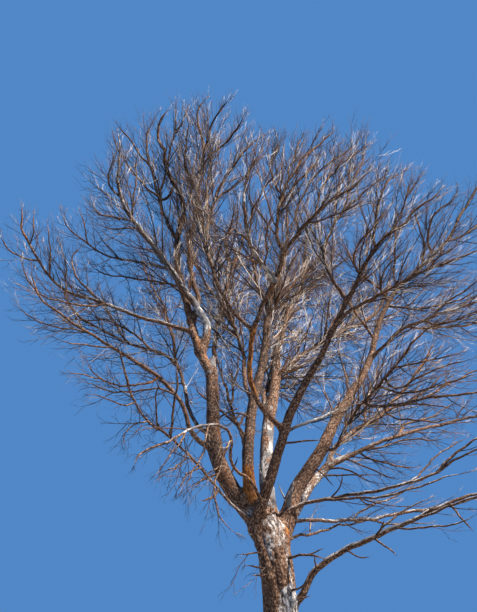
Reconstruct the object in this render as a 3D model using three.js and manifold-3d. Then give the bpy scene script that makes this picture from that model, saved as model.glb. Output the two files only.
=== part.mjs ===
// A whole bare tree: one leaning trunk with a root flare, its main boughs, and the masses of fine twigs that the
// boughs end in. Millimetres, +Z up. The origin is the middle of the flat cut under the trunk, at ground level.
// A limb is worked out from its own row of sizes: the limb it leaves, how far along that one, its length, its two
// radii, and the ways it heads (bearing, rise in degrees) at even steps from its foot to its end.
// A mass is the join of uneven plumes, one round each twig-bearing branch that springs from its bough.
import * as THREE from "three";
import Module from "manifold-3d";
import { mergeVertices } from "three/addons/utils/BufferGeometryUtils.js";

// driving sizes
const GAP = 0.4;                 // kept between limbs that meet
const MASS_GAP = 42;             // how much a mass is grown to cut the next one, so that twigs of two masses stay apart
const EVEN_OUT = 20;             // a mass's skin is thinned to as few faces as keep it within this
const TRUNK_SIDES = 12;
const BOUGH_SIDES = 6;
const PLUME_SIDES = 5;
const BOUGH_RING = 900;          // spacing of a bough's rings
const PLUME_RADIUS = 430;        // how far twigs stand off their branch
const PLUME_REACH = 330;         // how far twigs run on past a branch's end
const PLUMES_MOST = 4;           // plumes in one mass
const PLUMES_APART = 900;        // a branch gets a plume of its own if its end is this far from the others
const COURSE_STEPS = 48;
// trunk: radius against height, its root lobes and its lean
const TRUNK_RADII = [[0, 500], [160, 430], [420, 375], [900, 345], [1700, 322], [2700, 300], [3600, 290], [4350, 272], [4750, 292], [5080, 325], [5330, 300], [5520, 215], [5640, 80]];
const ROOT_LOBES = 5;
const ROOT_LOBE_DEPTH = 0.17;    // share of the radius at the ground
const ROOT_LOBE_HEIGHT = 420;    // height in which the lobes fade out
const BARK = 0x6b5443;
const BLEACHED = 0xb3a899;
const TWIG = 0x85796f;

// [name, limb it leaves, how far along, length, radius at the foot, radius at the end, [[bearing, rise], ...]]
const TRUNK_COURSE = [5390, [[173, 88], [-177, 85.5], [178, 86.5], [174.5, 82.5]]];
const LIMBS = [
  ["left_limb", "trunk", 0.95, 3950, 178, 126, [[172.5, 46.5], [167, 59.5], [91.5, 81.5], [132, 80.5]]],
  ["left_limb_top", "left_limb", 1.0, 6750, 105, 39, [[168, 59.5], [143.5, 75], [168.5, 74], [154.5, 82], [1, 76.5], [-151.5, 51.5], [-85, 80]]],
  ["left_pale_stem", "left_limb_top", 0.09, 4810, 86, 29, [[-16, 54.5], [164.5, 59], [-151.5, 51], [-146, 42], [-142, 40], [-89, 63.5]]],
  ["left_middle_stem", "left_limb_top", 0.22, 4650, 67, 37, [[2, 57], [164.5, 67.5], [-111.5, 82], [-43.5, 70.5], [-97, 67], [-51, 59.5]]],
  ["left_reach", "left_limb_top", 0.17, 4600, 55, 28, [[-175, 18], [-179.5, 17], [-166, 16.5], [-168, 13], [-143, 46.5], [-150, 60.5]]],
  ["left_low_limb", "left_limb", 0.54, 4090, 58, 23, [[-168.5, 9.5], [-160.5, 75], [-143.5, 31.5], [-147, 15], [-137.5, 11.5], [-137.5, 13.5]]],
  ["left_back_limb", "left_limb", 0.61, 5730, 54, 31, [[147, 30], [119, 67], [121.5, 61.5], [153.5, 27], [161.5, 31], [158, 40]]],
  ["front_low_left", "trunk", 0.98, 3890, 45, 24, [[-164, 13.5], [-139.5, 36], [-134, 29.5], [-130.5, 10], [-100.5, 38]]],
  ["front_curved", "trunk", 0.97, 3980, 45, 22, [[-114, 40], [-114, 45.5], [-131, 8], [-82, 38], [-135.5, -9], [-127.5, -38], [-123, -35.5]]],
  ["front_limb", "trunk", 0.93, 3460, 115, 66, [[171, 9.5], [-54, 50.5], [-32, 68], [-46, 67.5], [-25.5, 60.5], [-26, 56.5]]],
  ["front_limb_top", "front_limb", 1.0, 3520, 66, 27, [[-35.5, 50.5], [-36, 58], [-40.5, 53.5], [-41.5, 47.5], [-28, 12.5]]],
  ["front_right_arm", "front_limb_top", 0.33, 2200, 38, 22, [[-35.5, 24], [-33.5, 12], [-41, 9], [-38, -10]]],
  ["front_inner_left_arm", "front_limb_top", 0.46, 2070, 38, 25, [[-165.5, 49.5], [-159.5, 71], [-45.5, 66], [-23, 44.5]]],
  ["front_centre", "front_limb", 0.67, 3640, 55, 42, [[-156.5, 24.5], [-131.5, 45], [-88, 64.5], [-57.5, 53.5], [-48.5, 49], [-64.5, 57]]],
  ["front_centre_left", "front_centre", 1.0, 1960, 37, 24, [[-151, 48], [-50, 74.5], [-16, 84.5], [3.5, 71.5], [-4.5, 48.5]]],
  ["front_centre_right", "front_centre", 1.0, 1290, 46, 27, [[-43.5, 24.5], [-43, 33], [-24.5, 26]]],
  ["front_inner", "front_centre", 0.56, 3250, 41, 25, [[-159, 44.5], [-153.5, 45], [-144, 70], [164.5, 78], [-10, 79.5], [6, 73.5]]],
  ["front_lit", "front_centre", 0.84, 1900, 32, 18, [[-114.5, 7], [-115, -10.5], [-104, 18], [-99.5, 54.5]]],
  ["centre_limb", "trunk", 0.97, 5990, 107, 52, [[-172.5, 52], [131.5, 86], [48.5, 77.5], [31, 74.5], [78, 82.5], [15, 66.5]]],
  ["centre_left_arm", "centre_limb", 0.46, 3670, 50, 42, [[125, 59.5], [90, 67], [131.5, 64.5], [133.5, 65.5]]],
  ["bleached_stem", "trunk", 0.96, 4630, 116, 79, [[106, 72], [94.5, 73.5], [69, 72], [58, 71], [99, 77.5]]],
  ["back_right_arm", "bleached_stem", 0.61, 4750, 62, 38, [[144, 55.5], [41, 53.5], [32, 46], [29, 39], [27, 38], [25, 33]]],
  ["back_centre", "bleached_stem", 1.0, 4600, 79, 56, [[70, 54.5], [70, 57], [59, 54.5], [71.5, 61.5]]],
  ["back_left", "left_limb", 0.85, 5460, 62, 48, [[88, 57], [93.5, 59], [79, 59], [77.5, 61.5]]],
  ["back_low", "trunk", 0.98, 5750, 63, 38, [[110, 41.5], [94.5, 47.5], [102, 48.5], [109, 51]]],
  ["right_limb", "trunk", 0.93, 3470, 155, 90, [[12.5, 44.5], [33.5, 78], [10.5, 54.5], [20, 58.5], [19, 64], [15, 52.5]]],
  ["right_limb_top", "right_limb", 1.0, 5830, 90, 34, [[18.5, 55.5], [27, 59.5], [19.5, 75.5], [-8.5, 59.5], [-6.5, 43], [-12.5, 40.5], [-11.5, 66.5]]],
  ["back_right_limb", "trunk", 0.94, 2850, 98, 84, [[47, 43.5], [55, 48], [36, 41]]],
  ["back_right_up", "back_right_limb", 0.97, 4140, 63, 38, [[75.5, 59], [39.5, 38.5], [39, 30], [47, 44], [40, 42]]],
  ["back_right_out", "back_right_limb", 1.0, 3260, 52, 35, [[19, 26], [18, 28.5], [27, 22], [22.5, 19.5]]],
  ["right_slender", "right_limb", 0.66, 2610, 35, 23, [[-40.5, -55.5], [-35, 65.5], [-22.5, 51], [-59.5, 6], [-31, 49.5], [-61, 17.5]]],
  ["right_arm", "right_limb_top", 0.24, 1780, 44, 32, [[-35.5, 21.5], [-49.5, 28], [-27.5, 7.5], [-28.5, 6]]],
  ["right_middle_arm", "right_slender", 0.54, 1680, 34, 23, [[-56, -43.5], [-50, -9], [-35, -1]]],
  ["right_low_arm", "trunk", 1.0, 3170, 45, 28, [[-16, 42], [1, 14], [-15.5, 0.5], [-16.5, 11.5], [-14.5, 14.5]]],
  ["right_back_low_arm", "trunk", 0.97, 4360, 38, 33, [[37, 30], [50, 11], [46, 14], [45, 19]]],
  ["right_lowest_arm", "trunk", 0.73, 3100, 63, 30, [[-25, 10.5], [-26, 59], [-24, 27], [-21.5, 13.5], [-23.5, 17], [-27.5, 24]]],
];
// the same, for the branches inside each mass: [mass, limb it leaves, ...]
const BRANCHES = [
  ["left_top", "left_limb_top", 1.0, 1230, 39, 16, [[-158.5, 38.5], [-66, 68.5], [-25, 40]]],
  ["left_top", "left_limb_top", 0.59, 3940, 39, 16, [[-161, 49], [-139, 72.5], [-144, 66], [-90, 79], [-22.5, 49.5]]],
  ["left_top", "left_limb_top", 0.84, 3630, 33, 16, [[-175.5, -73.5], [-13, 81.5], [-64, 69], [-106, 75]]],
  ["left_top", "left_top_3", 0.73, 910, 23, 13, [[-35, 37.5], [-37, 63.5], [-25.5, 62]]],
  ["left_top", "left_top_2", 0.56, 1320, 23, 13, [[-137, 28], [-139.5, 37], [-146.5, 42.5]]],
  ["left_top", "left_top_2", 0.33, 1960, 25, 12, [[-155, 27], [-146, 43], [-126, 60.5]]],
  ["left_middle_top", "left_middle_stem", 1.0, 1940, 32, 16, [[174, 81.5], [-159, 77.5], [-26, 48]]],
  ["left_middle_top", "left_middle_stem", 1.0, 1570, 30, 15, [[-78.5, 56], [-49.5, 50.5], [-34, 19.5]]],
  ["left_middle_top", "left_middle_stem", 0.86, 2000, 30, 14, [[-66.5, 34.5], [-32.5, 19], [-60.5, 49.5]]],
  ["left_middle_top", "left_middle_stem", 0.77, 2620, 27, 14, [[178.5, 56], [-64.5, 84], [-105.5, 78]]],
  ["left_pale_top", "left_pale_stem", 1.0, 1260, 25, 13, [[-56, 71.5], [-124.5, 76], [-136.5, 80.5]]],
  ["left_pale_top", "left_pale_stem", 0.91, 1270, 23, 11, [[-154, 7], [-63, 45], [170, 73.5]]],
  ["left_pale_top", "left_pale_stem", 0.78, 1430, 21, 11, [[-134, -26.5], [-134.5, -24], [-133, 74]]],
  ["left_pale_top", "left_pale_stem", 0.8, 1700, 21, 12, [[-51.5, 75], [-96, 72.5], [-64.5, 64]]],
  ["left_pale_top", "left_pale_stem", 0.74, 1010, 18, 10, [[-168.5, -13.5], [-152.5, -24.5], [-134.5, 11.5]]],
  ["left_arc", "left_limb_top", 0.45, 4110, 28, 14, [[162, 27], [164, 18.5], [168, 29.5], [-171.5, 41], [-142.5, 74]]],
  ["left_arc", "left_arc_1", 0.66, 1030, 18, 12, [[-164, 62], [-117.5, 80], [-157, 58]]],
  ["left_arc", "left_arc_1", 0.41, 670, 16, 11, [[-172, 55], [-162.5, 33.5], [-124, 19]]],
  ["left_arc", "left_reach", 0.47, 2620, 24, 12, [[155, 39], [154, 53.5], [147.5, 65], [17, 47]]],
  ["left_arc", "left_limb_top", 0.37, 3140, 23, 13, [[153, 32], [158.5, 20.5], [159.5, 22.5], [157, 55]]],
  ["left_tip", "left_reach", 0.98, 840, 25, 11, [[-157, 52], [-108.5, 72.5], [-118, 76.5]]],
  ["left_tip", "left_reach", 0.95, 750, 17, 10, [[-62, 36], [-79.5, 64], [-108.5, 73.5]]],
  ["left_tip", "left_reach", 0.85, 1170, 20, 10, [[-132.5, -21.5], [-133, -2.5], [-108, 75.5]]],
  ["left_tip", "left_reach", 0.65, 1370, 20, 10, [[-96, 56.5], [-157, 78], [177.5, 68.5]]],
  ["left_tip", "left_reach", 0.76, 1330, 18, 10, [[-74.5, 37], [-127, 72.5], [-168, 74]]],
  ["left_tip", "left_reach", 0.46, 2630, 24, 10, [[-132.5, -43], [-132.5, -17.5], [-130.5, -15.5], [-156, 41], [-70, 58.5]]],
  ["left_low", "left_low_limb", 1.0, 1410, 20, 10, [[-169, 39], [-167, 31.5], [-166, 69.5], [-91, 79]]],
  ["left_low", "left_low_limb", 0.85, 1550, 17, 8, [[-156, 12.5], [-156, -8.5], [-158, 17], [-144.5, 47]]],
  ["left_low", "left_low_limb", 0.73, 1260, 17, 8, [[-130.5, -20], [-127, -20], [-168.5, 17.5]]],
  ["left_low", "left_low_limb", 0.46, 1940, 20, 9, [[-140.5, -48.5], [-136, -21], [-140.5, -2], [-109, 43]]],
  ["left_low", "left_low_limb", 0.34, 2310, 20, 9, [[-139.5, 7], [-148, -29.5], [-128.5, -2], [-125, -16.5]]],
  ["left_low", "left_low_4", 0.73, 900, 13, 8, [[-116.5, -16], [-118, -11], [-158.5, -18]]],
  ["left_back_top", "left_back_limb", 1.0, 1800, 30, 13, [[173, 29.5], [163, 61.5], [166.5, 75]]],
  ["left_back_top", "left_back_limb", 0.63, 3320, 26, 13, [[157, 54], [160, 36.5], [166, 8.5], [164.5, 25.5]]],
  ["left_back_top", "left_back_limb", 0.41, 3720, 33, 16, [[117, 57.5], [107.5, 64], [130, 57], [139.5, 53]]],
  ["left_back_top", "left_back_limb", 0.75, 2900, 26, 14, [[136.5, 52], [138.5, 50.5], [139, 65], [146, 60]]],
  ["left_back_top", "left_back_top_3", 0.63, 3160, 25, 14, [[127, 62], [142, 59.5], [125.5, 76.5]]],
  ["front_left_low", "front_low_left", 1.0, 730, 21, 9, [[-132, 69.5], [-120.5, 63.5], [-132.5, 34.5]]],
  ["front_left_low", "front_low_left", 0.74, 1120, 17, 8, [[-90.5, 16.5], [-91.5, 19], [-64.5, 43]]],
  ["front_left_low", "front_low_left", 0.66, 1330, 24, 11, [[-83.5, 72], [-59.5, 64], [-86.5, 73.5], [-125, 66.5]]],
  ["front_left_low", "front_low_left", 0.81, 1170, 13, 7, [[-109.5, -31], [-107.5, -34.5], [-106.5, -75.5]]],
  ["front_left_low", "front_low_left", 0.92, 970, 13, 7, [[-137.5, -34], [-133, -0], [-137.5, -13.5]]],
  ["front_hanging", "front_curved", 1.0, 770, 18, 7, [[-169.5, -19.5], [-141, -41.5], [-91.5, -66]]],
  ["front_hanging", "front_curved", 0.72, 1770, 16, 7, [[-101, -50.5], [-95.5, -56], [-144.5, -52.5]]],
  ["front_hanging", "front_curved", 0.87, 1210, 14, 6, [[-104.5, -58.5], [-121, -51.5], [-135.5, -40.5]]],
  ["front_hanging", "front_curved", 0.54, 2290, 20, 8, [[-129, -51], [-98.5, -51.5], [-90, -68], [-2, -29.5]]],
  ["front_hanging", "front_hanging_4", 0.32, 1350, 12, 6, [[-109.5, -37], [-114.5, -29.5], [-143, -67.5]]],
  ["front_upper_left", "front_inner", 1.0, 1990, 24, 12, [[-26, 74.5], [-10.5, 61], [-7.5, 53], [-12, 25.5]]],
  ["front_upper_left", "front_inner", 0.96, 1120, 18, 10, [[-27.5, 38.5], [-20.5, 23.5], [-60.5, 62.5]]],
  ["front_upper_left", "front_inner", 0.44, 1530, 19, 10, [[-65, 47.5], [-45.5, 51], [-128, 67.5]]],
  ["front_upper_left", "front_inner", 0.69, 1250, 18, 10, [[-133.5, 62], [-134.5, 64], [-146, 54]]],
  ["front_upper_left", "front_inner", 0.9, 2070, 18, 11, [[157, 71], [34.5, 85], [-3, 59]]],
  ["front_lit_top", "front_lit", 1.0, 1410, 18, 9, [[-87, 78.5], [-30, 69], [-8.5, 52.5]]],
  ["front_lit_top", "front_lit", 0.65, 1610, 15, 8, [[-126.5, 14.5], [-107.5, -54.5], [-8, 66.5]]],
  ["front_lit_top", "front_lit", 0.77, 1150, 15, 8, [[-76.5, 35], [-54, 32], [-30, 34]]],
  ["front_lit_top", "front_lit", 0.24, 1860, 18, 8, [[-84.5, -10], [-99, -11.5], [-50.5, 24]]],
  ["front_lit_top", "front_lit", 0.36, 1600, 16, 8, [[-121, -19], [-121, -22], [-128, 44.5]]],
  ["front_centre_top", "front_centre_left", 1.0, 1400, 24, 11, [[-0, 70], [0.5, 47], [-0.5, 57]]],
  ["front_centre_top", "front_centre_left", 0.47, 1300, 19, 10, [[-53.5, 42.5], [-22, 38], [-3, 54.5]]],
  ["front_centre_top", "front_centre_left", 0.63, 2020, 19, 10, [[152.5, 65.5], [93, 80.5], [3, 50.5]]],
  ["front_centre_top", "front_centre_left", 0.86, 1630, 18, 10, [[78.5, 76], [35.5, 70.5], [11.5, 67]]],
  ["front_right_top", "front_centre_right", 1.0, 970, 22, 10, [[-16.5, 25], [-14, 34.5], [-21, 56]]],
  ["front_right_top", "front_centre_right", 0.35, 2720, 20, 10, [[-149.5, 77.5], [-9.5, 63], [-6.5, 40.5], [-5.5, 48.5]]],
  ["front_right_top", "front_centre_right", 0.69, 1870, 18, 10, [[-76.5, 78], [-20.5, 58.5], [-9, 45], [-7, 24.5]]],
  ["front_right_top", "front_centre_right", 0.52, 1380, 16, 8, [[-49.5, -28.5], [-48.5, -12], [-27, 25]]],
  ["front_inner_top", "front_inner_left_arm", 1.0, 1360, 22, 10, [[-14.5, 52.5], [-10, 32], [-10.5, 50.5]]],
  ["front_inner_top", "front_inner_left_arm", 0.84, 2620, 20, 11, [[74.5, 84.5], [10.5, 66], [33, 83.5]]],
  ["front_inner_top", "front_inner_left_arm", 0.57, 1510, 20, 10, [[168, 64], [174, 78], [-175, 79.5]]],
  ["front_inner_top", "front_inner_left_arm", 0.9, 2800, 18, 11, [[18.5, 66], [8, 68.5], [-14, 81.5]]],
  ["front_limb_crown", "front_limb_top", 1.0, 1040, 25, 11, [[-27, 60], [-12, 28], [-17, 55]]],
  ["front_limb_crown", "front_limb_top", 0.79, 2060, 25, 11, [[-103, 64.5], [-61, 67], [7.5, 60.5], [-5, 31.5]]],
  ["front_limb_crown", "front_limb_top", 0.62, 1680, 19, 10, [[-154, 45.5], [-73, 12], [-0.5, 44.5], [-93.5, 64]]],
  ["front_limb_crown", "front_limb_top", 0.9, 1710, 19, 10, [[-12.5, 57], [-5, 67], [3, 49]]],
  ["front_right_fan", "front_right_arm", 1.0, 960, 21, 9, [[-15, 24], [-13, 13], [-12.5, 34.5]]],
  ["front_right_fan", "front_right_arm", 0.47, 1160, 19, 9, [[-113, 17], [-69.5, 10.5], [-0.5, 23.5]]],
  ["front_right_fan", "front_right_arm", 0.75, 1090, 16, 9, [[-57.5, 23.5], [-44.5, 4.5], [-11.5, 34.5]]],
  ["front_right_fan", "front_right_arm", 0.61, 1550, 17, 8, [[-61.5, -36.5], [-58.5, -25.5], [-23.5, -1.5]]],
  ["front_right_fan", "front_right_arm", 0.87, 1140, 14, 9, [[-27.5, 34], [-26, 57], [-7, 34.5]]],
  ["centre_top", "centre_limb", 1.0, 3250, 40, 17, [[23, 71], [41.5, 79], [52, 85.5], [6.5, 68.5]]],
  ["centre_top", "centre_limb", 0.88, 3250, 34, 15, [[-165, 63], [-165, 80.5], [-70.5, 81.5], [-25, 77]]],
  ["centre_top", "centre_limb", 0.81, 2920, 31, 14, [[-14, 75.5], [-3, 45], [-12.5, 51], [-100, 82.5]]],
  ["centre_left_top", "centre_left_arm", 1.0, 2960, 36, 16, [[168.5, 73], [151, 80], [-163.5, 74.5], [-18, 77]]],
  ["centre_left_top", "centre_left_arm", 1.0, 2630, 31, 14, [[34, 71.5], [27, 75], [12, 78.5]]],
  ["centre_left_top", "centre_left_arm", 0.6, 2510, 27, 14, [[124, 44], [136, 49], [167.5, 40]]],
  ["back_centre_top", "back_centre", 1.0, 1980, 49, 20, [[55.5, 76], [61.5, 79.5], [28.5, 81.5]]],
  ["back_centre_top", "back_centre", 0.69, 3630, 37, 18, [[51.5, 46], [41.5, 50], [47, 74.5]]],
  ["back_centre_top", "back_centre", 0.47, 4250, 36, 18, [[104, 49.5], [107.5, 57], [110, 73.5]]],
  ["back_right_top", "back_right_arm", 1.0, 2110, 36, 16, [[22.5, 36], [23.5, 57.5], [0.5, 69.5]]],
  ["back_right_top", "back_right_arm", 0.65, 3290, 31, 15, [[54, 51.5], [42, 55], [27.5, 68]]],
  ["back_right_top", "back_right_arm", 0.8, 3260, 30, 16, [[49, 38.5], [52.5, 53], [31, 52]]],
  ["back_right_top", "back_right_arm", 0.17, 3180, 28, 14, [[61, 23.5], [46, 34.5], [26.5, 48.5]]],
  ["back_left_top", "back_left", 1.0, 2300, 41, 18, [[74, 73], [113.5, 78], [170.5, 85]]],
  ["back_left_top", "back_left", 0.78, 3110, 34, 16, [[150.5, 58], [141, 62], [123.5, 71]]],
  ["back_left_top", "back_left", 0.59, 3840, 30, 16, [[66, 50], [61, 55], [60.5, 65]]],
  ["back_low_top", "back_low", 1.0, 2380, 36, 16, [[110, 61], [115, 62.5], [123, 62.5]]],
  ["back_low_top", "back_low", 0.8, 2360, 29, 15, [[140, 44], [139.5, 43], [131.5, 51.5]]],
  ["back_low_top", "back_low", 0.78, 3130, 29, 15, [[79, 49], [59.5, 45], [78.5, 58.5]]],
  ["back_low_top", "back_low", 1.0, 2920, 28, 16, [[76.5, 55], [82, 60], [69.5, 67]]],
  ["right_top", "right_limb_top", 1.0, 1660, 34, 15, [[-2.5, 62.5], [-8, 55], [-17.5, 57.5]]],
  ["right_top", "right_limb_top", 0.81, 2140, 28, 14, [[-148, 58.5], [-50.5, 61], [-5, 30.5], [-58, 84]]],
  ["right_top", "right_limb_top", 0.74, 1600, 26, 13, [[-52, 60.5], [-141.5, 74.5], [-104, 85]]],
  ["right_top", "right_limb_top", 0.9, 2260, 26, 14, [[14, 25.5], [13.5, 46.5], [18.5, 58.5]]],
  ["right_top", "right_limb_top", 0.59, 2480, 26, 14, [[119.5, 84.5], [10.5, 78.5], [-11, 83.5]]],
  ["right_top", "right_limb_top", 0.51, 2500, 32, 15, [[118, 74], [151, 51.5], [148, 72.5], [142.5, 76.5]]],
  ["right_top", "right_limb_top", 0.33, 1730, 27, 12, [[-140.5, 45.5], [-148.5, 50.5], [-167.5, 57]]],
  ["right_top", "right_top_6", 0.4, 2150, 24, 13, [[63, 68], [56.5, 73], [-79.5, 81]]],
  ["right_fan", "right_arm", 1.0, 1910, 29, 12, [[-9.5, 10], [-2, 24.5], [1.5, 51]]],
  ["right_fan", "right_arm", 0.58, 2940, 26, 11, [[8, -4], [7.5, 18], [14.5, 32]]],
  ["right_fan", "right_arm", 0.79, 1840, 21, 10, [[-48.5, -42.5], [-22, 17], [-32, -4.5]]],
  ["right_fan", "right_limb_top", 0.5, 2310, 25, 11, [[-30, -42.5], [-22, -1.5], [-10.5, 10.5], [-13.5, 38]]],
  ["right_fan", "right_arm", 0.88, 1580, 21, 11, [[-21.5, 47.5], [-16.5, 25], [-19, 41.5]]],
  ["right_middle_fan", "right_slender", 1.0, 1170, 23, 10, [[-32.5, 47.5], [-20, 40.5], [-5, 27]]],
  ["right_middle_fan", "right_slender", 0.9, 1360, 19, 9, [[-39.5, -13.5], [-38, -5.5], [-8.5, 19.5]]],
  ["right_middle_fan", "right_slender", 0.8, 2040, 21, 9, [[-6.5, -69.5], [-56.5, 10.5], [-8, 15], [-43, -1.5]]],
  ["right_middle_fan", "right_slender", 0.72, 2160, 21, 9, [[-44, -45], [-40.5, -9.5], [-43, -3.5], [-45.5, -6]]],
  ["right_lower_fan", "right_middle_arm", 1.0, 1470, 21, 9, [[-11.5, -4], [-6.5, 11.5], [-10.5, 33]]],
  ["right_lower_fan", "right_middle_arm", 0.43, 1810, 19, 8, [[-61.5, -23.5], [-60, -18.5], [-47.5, -47]]],
  ["right_lower_fan", "right_middle_arm", 0.35, 1960, 19, 8, [[-75.5, -58], [-55.5, -21], [-19, 10]]],
  ["right_lower_fan", "right_middle_arm", 0.88, 1780, 18, 10, [[23, 39.5], [15, 25.5], [2, 29.5]]],
  ["back_right_upper_fan", "back_right_up", 1.0, 2410, 38, 16, [[23.5, 46.5], [22, 55.5], [14, 57]]],
  ["back_right_upper_fan", "back_right_up", 0.72, 2500, 29, 14, [[9, 22.5], [18, 37], [28.5, 49]]],
  ["back_right_upper_fan", "back_right_up", 0.5, 3840, 30, 15, [[80, 48.5], [59.5, 49.5], [54, 62.5]]],
  ["back_right_upper_fan", "back_right_up", 0.3, 4350, 29, 15, [[81, 44.5], [76.5, 49], [59.5, 54]]],
  ["back_right_fan", "back_right_out", 1.0, 2070, 30, 13, [[13.5, 20], [9.5, 18.5], [3, 40]]],
  ["back_right_fan", "back_right_out", 0.31, 1930, 22, 11, [[28.5, -2.5], [10.5, 28.5], [-4, -7.5], [-8.5, 25]]],
  ["back_right_fan", "back_right_out", 0.59, 2690, 25, 12, [[56.5, 53.5], [38, 24], [22.5, 26.5], [11.5, 46.5]]],
  ["back_right_fan", "back_right_out", 0.22, 1500, 22, 11, [[24, -26], [26, -4], [14.5, -6], [16, 7]]],
  ["back_right_fan", "back_right_out", 0.11, 1380, 21, 10, [[-47.5, -38], [42, 0.5], [-39.5, -36], [2, -3]]],
  ["right_low_fan", "right_low_arm", 1.0, 1660, 25, 10, [[-24, 40.5], [-12, 31.5], [-5, 32]]],
  ["right_low_fan", "right_low_arm", 1.0, 1490, 20, 9, [[-10.5, 32.5], [-18.5, 18], [-4, 21]]],
  ["right_low_fan", "right_low_arm", 0.24, 3130, 25, 9, [[-27.5, -3.5], [-31.5, -5.5], [-18.5, 11], [-14, 15]]],
  ["right_low_fan", "right_low_arm", 0.84, 1840, 18, 10, [[22.5, 42.5], [22.5, 36.5], [22, 32.5]]],
  ["right_back_low_fan", "right_back_low_arm", 1.0, 2610, 29, 13, [[21, 15.5], [14, 11], [6, 25.5]]],
  ["right_back_low_fan", "right_back_low_arm", 0.59, 3760, 22, 12, [[58.5, 29], [46.5, 23.5], [35.5, 32]]],
  ["right_back_low_fan", "right_back_low_arm", 0.76, 1690, 21, 11, [[39, -8.5], [28, 13], [4.5, 2]]],
  ["right_back_low_fan", "trunk", 0.93, 3940, 23, 12, [[43.5, 22.5], [55.5, 18.5], [39, 19.5]]],
  ["right_lowest_fan", "right_lowest_arm", 1.0, 1590, 30, 10, [[-7.5, 21.5], [-7.5, 15], [-10, 36.5]]],
  ["right_lowest_fan", "right_lowest_arm", 0.93, 1600, 22, 9, [[-34.5, 3], [-37.5, 13.5], [-26, -4.5]]],
  ["right_lowest_fan", "right_lowest_arm", 0.79, 1520, 18, 8, [[-45, -16.5], [-44.5, -4], [-45, 8]]],
  ["right_lowest_fan", "right_lowest_arm", 0.67, 1290, 18, 10, [[-2.5, 49], [5, 28.5], [13.5, 33.5]]],
];
// [mass, the limb whose end runs up inside it, where that limb enters it]
const CORES = [
  ["left_top", "left_limb_top", 0.57], ["left_middle_top", "left_middle_stem", 0.74], ["left_pale_top", "left_pale_stem", 0.72],
  ["left_arc", null, 0], ["left_tip", "left_reach", 0.46], ["left_low", "left_low_limb", 0.46], ["left_back_top", "left_back_limb", 0.41],
  ["front_left_low", "front_low_left", 0.66], ["front_hanging", "front_curved", 0.54], ["front_upper_left", "front_inner", 0.44],
  ["front_lit_top", "front_lit", 0.12], ["front_centre_top", "front_centre_left", 0.12], ["front_right_top", "front_centre_right", 0.15],
  ["front_inner_top", "front_inner_left_arm", 0.2], ["front_limb_crown", "front_limb_top", 0.62], ["front_right_fan", "front_right_arm", 0.25],
  ["centre_top", "centre_limb", 0.8], ["centre_left_top", "centre_left_arm", 0.58], ["back_centre_top", "back_centre", 0.46],
  ["back_right_top", "back_right_arm", 0.6], ["back_left_top", "back_left", 0.58], ["back_low_top", "back_low", 0.78],
  ["right_top", "right_limb_top", 0.51], ["right_fan", "right_arm", 0.2],
  ["right_middle_fan", "right_slender", 0.3], ["right_lower_fan", "right_middle_arm", 0.2],
  ["back_right_upper_fan", "back_right_up", 0.3], ["back_right_fan", "back_right_out", 0.11], ["right_low_fan", "right_low_arm", 0.6],
  ["right_back_low_fan", "right_back_low_arm", 0.58], ["right_lowest_fan", "right_lowest_arm", 0.67],
];
// limbs too slender for a solid of their own: they run inside their mass from its foot
const SLENDER = ["front_lit", "front_centre_left", "front_centre_right", "front_inner_left_arm", "front_right_arm", "right_arm", "right_slender", "right_middle_arm"];
const PALE = ["bleached_stem", "left_pale_stem", "back_right_limb", "back_right_arm"];

const rad = Math.PI / 180;
const heading = ([bearing, rise]) => new THREE.Vector3(
  Math.cos(rise * rad) * Math.cos(bearing * rad), Math.cos(rise * rad) * Math.sin(bearing * rad), Math.sin(rise * rad));

function course(start, length, headings) {
  const ways = headings.map(heading);
  const points = [start.clone()];
  for (let i = 0; i < COURSE_STEPS; i++) {
    const s = (i + 0.5) / COURSE_STEPS * (ways.length - 1);
    const k = Math.min(Math.floor(s), ways.length - 2);
    const step = ways[k].clone().lerp(ways[k + 1], s - k).normalize();
    points.push(points[i].clone().addScaledVector(step, length / COURSE_STEPS));
  }
  return points;
}

function along(points, s) {
  const x = Math.min(Math.max(s, 0), 1) * (points.length - 1);
  const i = Math.min(Math.floor(x), points.length - 2);
  return points[i].clone().lerp(points[i + 1], x - i);
}

// a closed skin over rings of points, all rings with the same count, capped flat at both ends
function skin(rings) {
  const n = rings[0].length, flat = [], faces = [];
  for (const ring of rings) for (const p of ring) flat.push(p.x, p.y, p.z);
  for (let r = 0; r + 1 < rings.length; r++) {
    for (let i = 0; i < n; i++) {
      const a = r * n + i, b = r * n + (i + 1) % n, c = a + n, d = b + n;
      faces.push(a, b, d, a, d, c);
    }
  }
  const last = (rings.length - 1) * n;
  for (let i = 1; i + 1 < n; i++) {
    faces.push(0, i + 1, i);
    faces.push(last, last + i, last + i + 1);
  }
  const geometry = new THREE.BufferGeometry();
  geometry.setAttribute("position", new THREE.Float32BufferAttribute(flat, 3));
  geometry.setIndex(faces);
  return geometry;
}

// rings square to a line of points, their frame carried along it without twist
function ringsAlong(points, sides, radiusAt) {
  const rings = [];
  let side = null;
  points.forEach((p, i) => {
    const way = points[Math.min(i + 1, points.length - 1)].clone().sub(points[Math.max(i - 1, 0)]).normalize();
    if (!side) side = Math.abs(way.z) < 0.9 ? new THREE.Vector3(0, 0, 1) : new THREE.Vector3(1, 0, 0);
    side.addScaledVector(way, -side.dot(way)).normalize();
    const other = way.clone().cross(side);
    const ring = [];
    for (let k = 0; k < sides; k++) {
      const turn = 2 * Math.PI * k / sides, r = radiusAt(i / (points.length - 1), turn);
      ring.push(p.clone().addScaledVector(side, Math.cos(turn) * r).addScaledVector(other, Math.sin(turn) * r));
    }
    rings.push(ring);
  });
  return rings;
}

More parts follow.
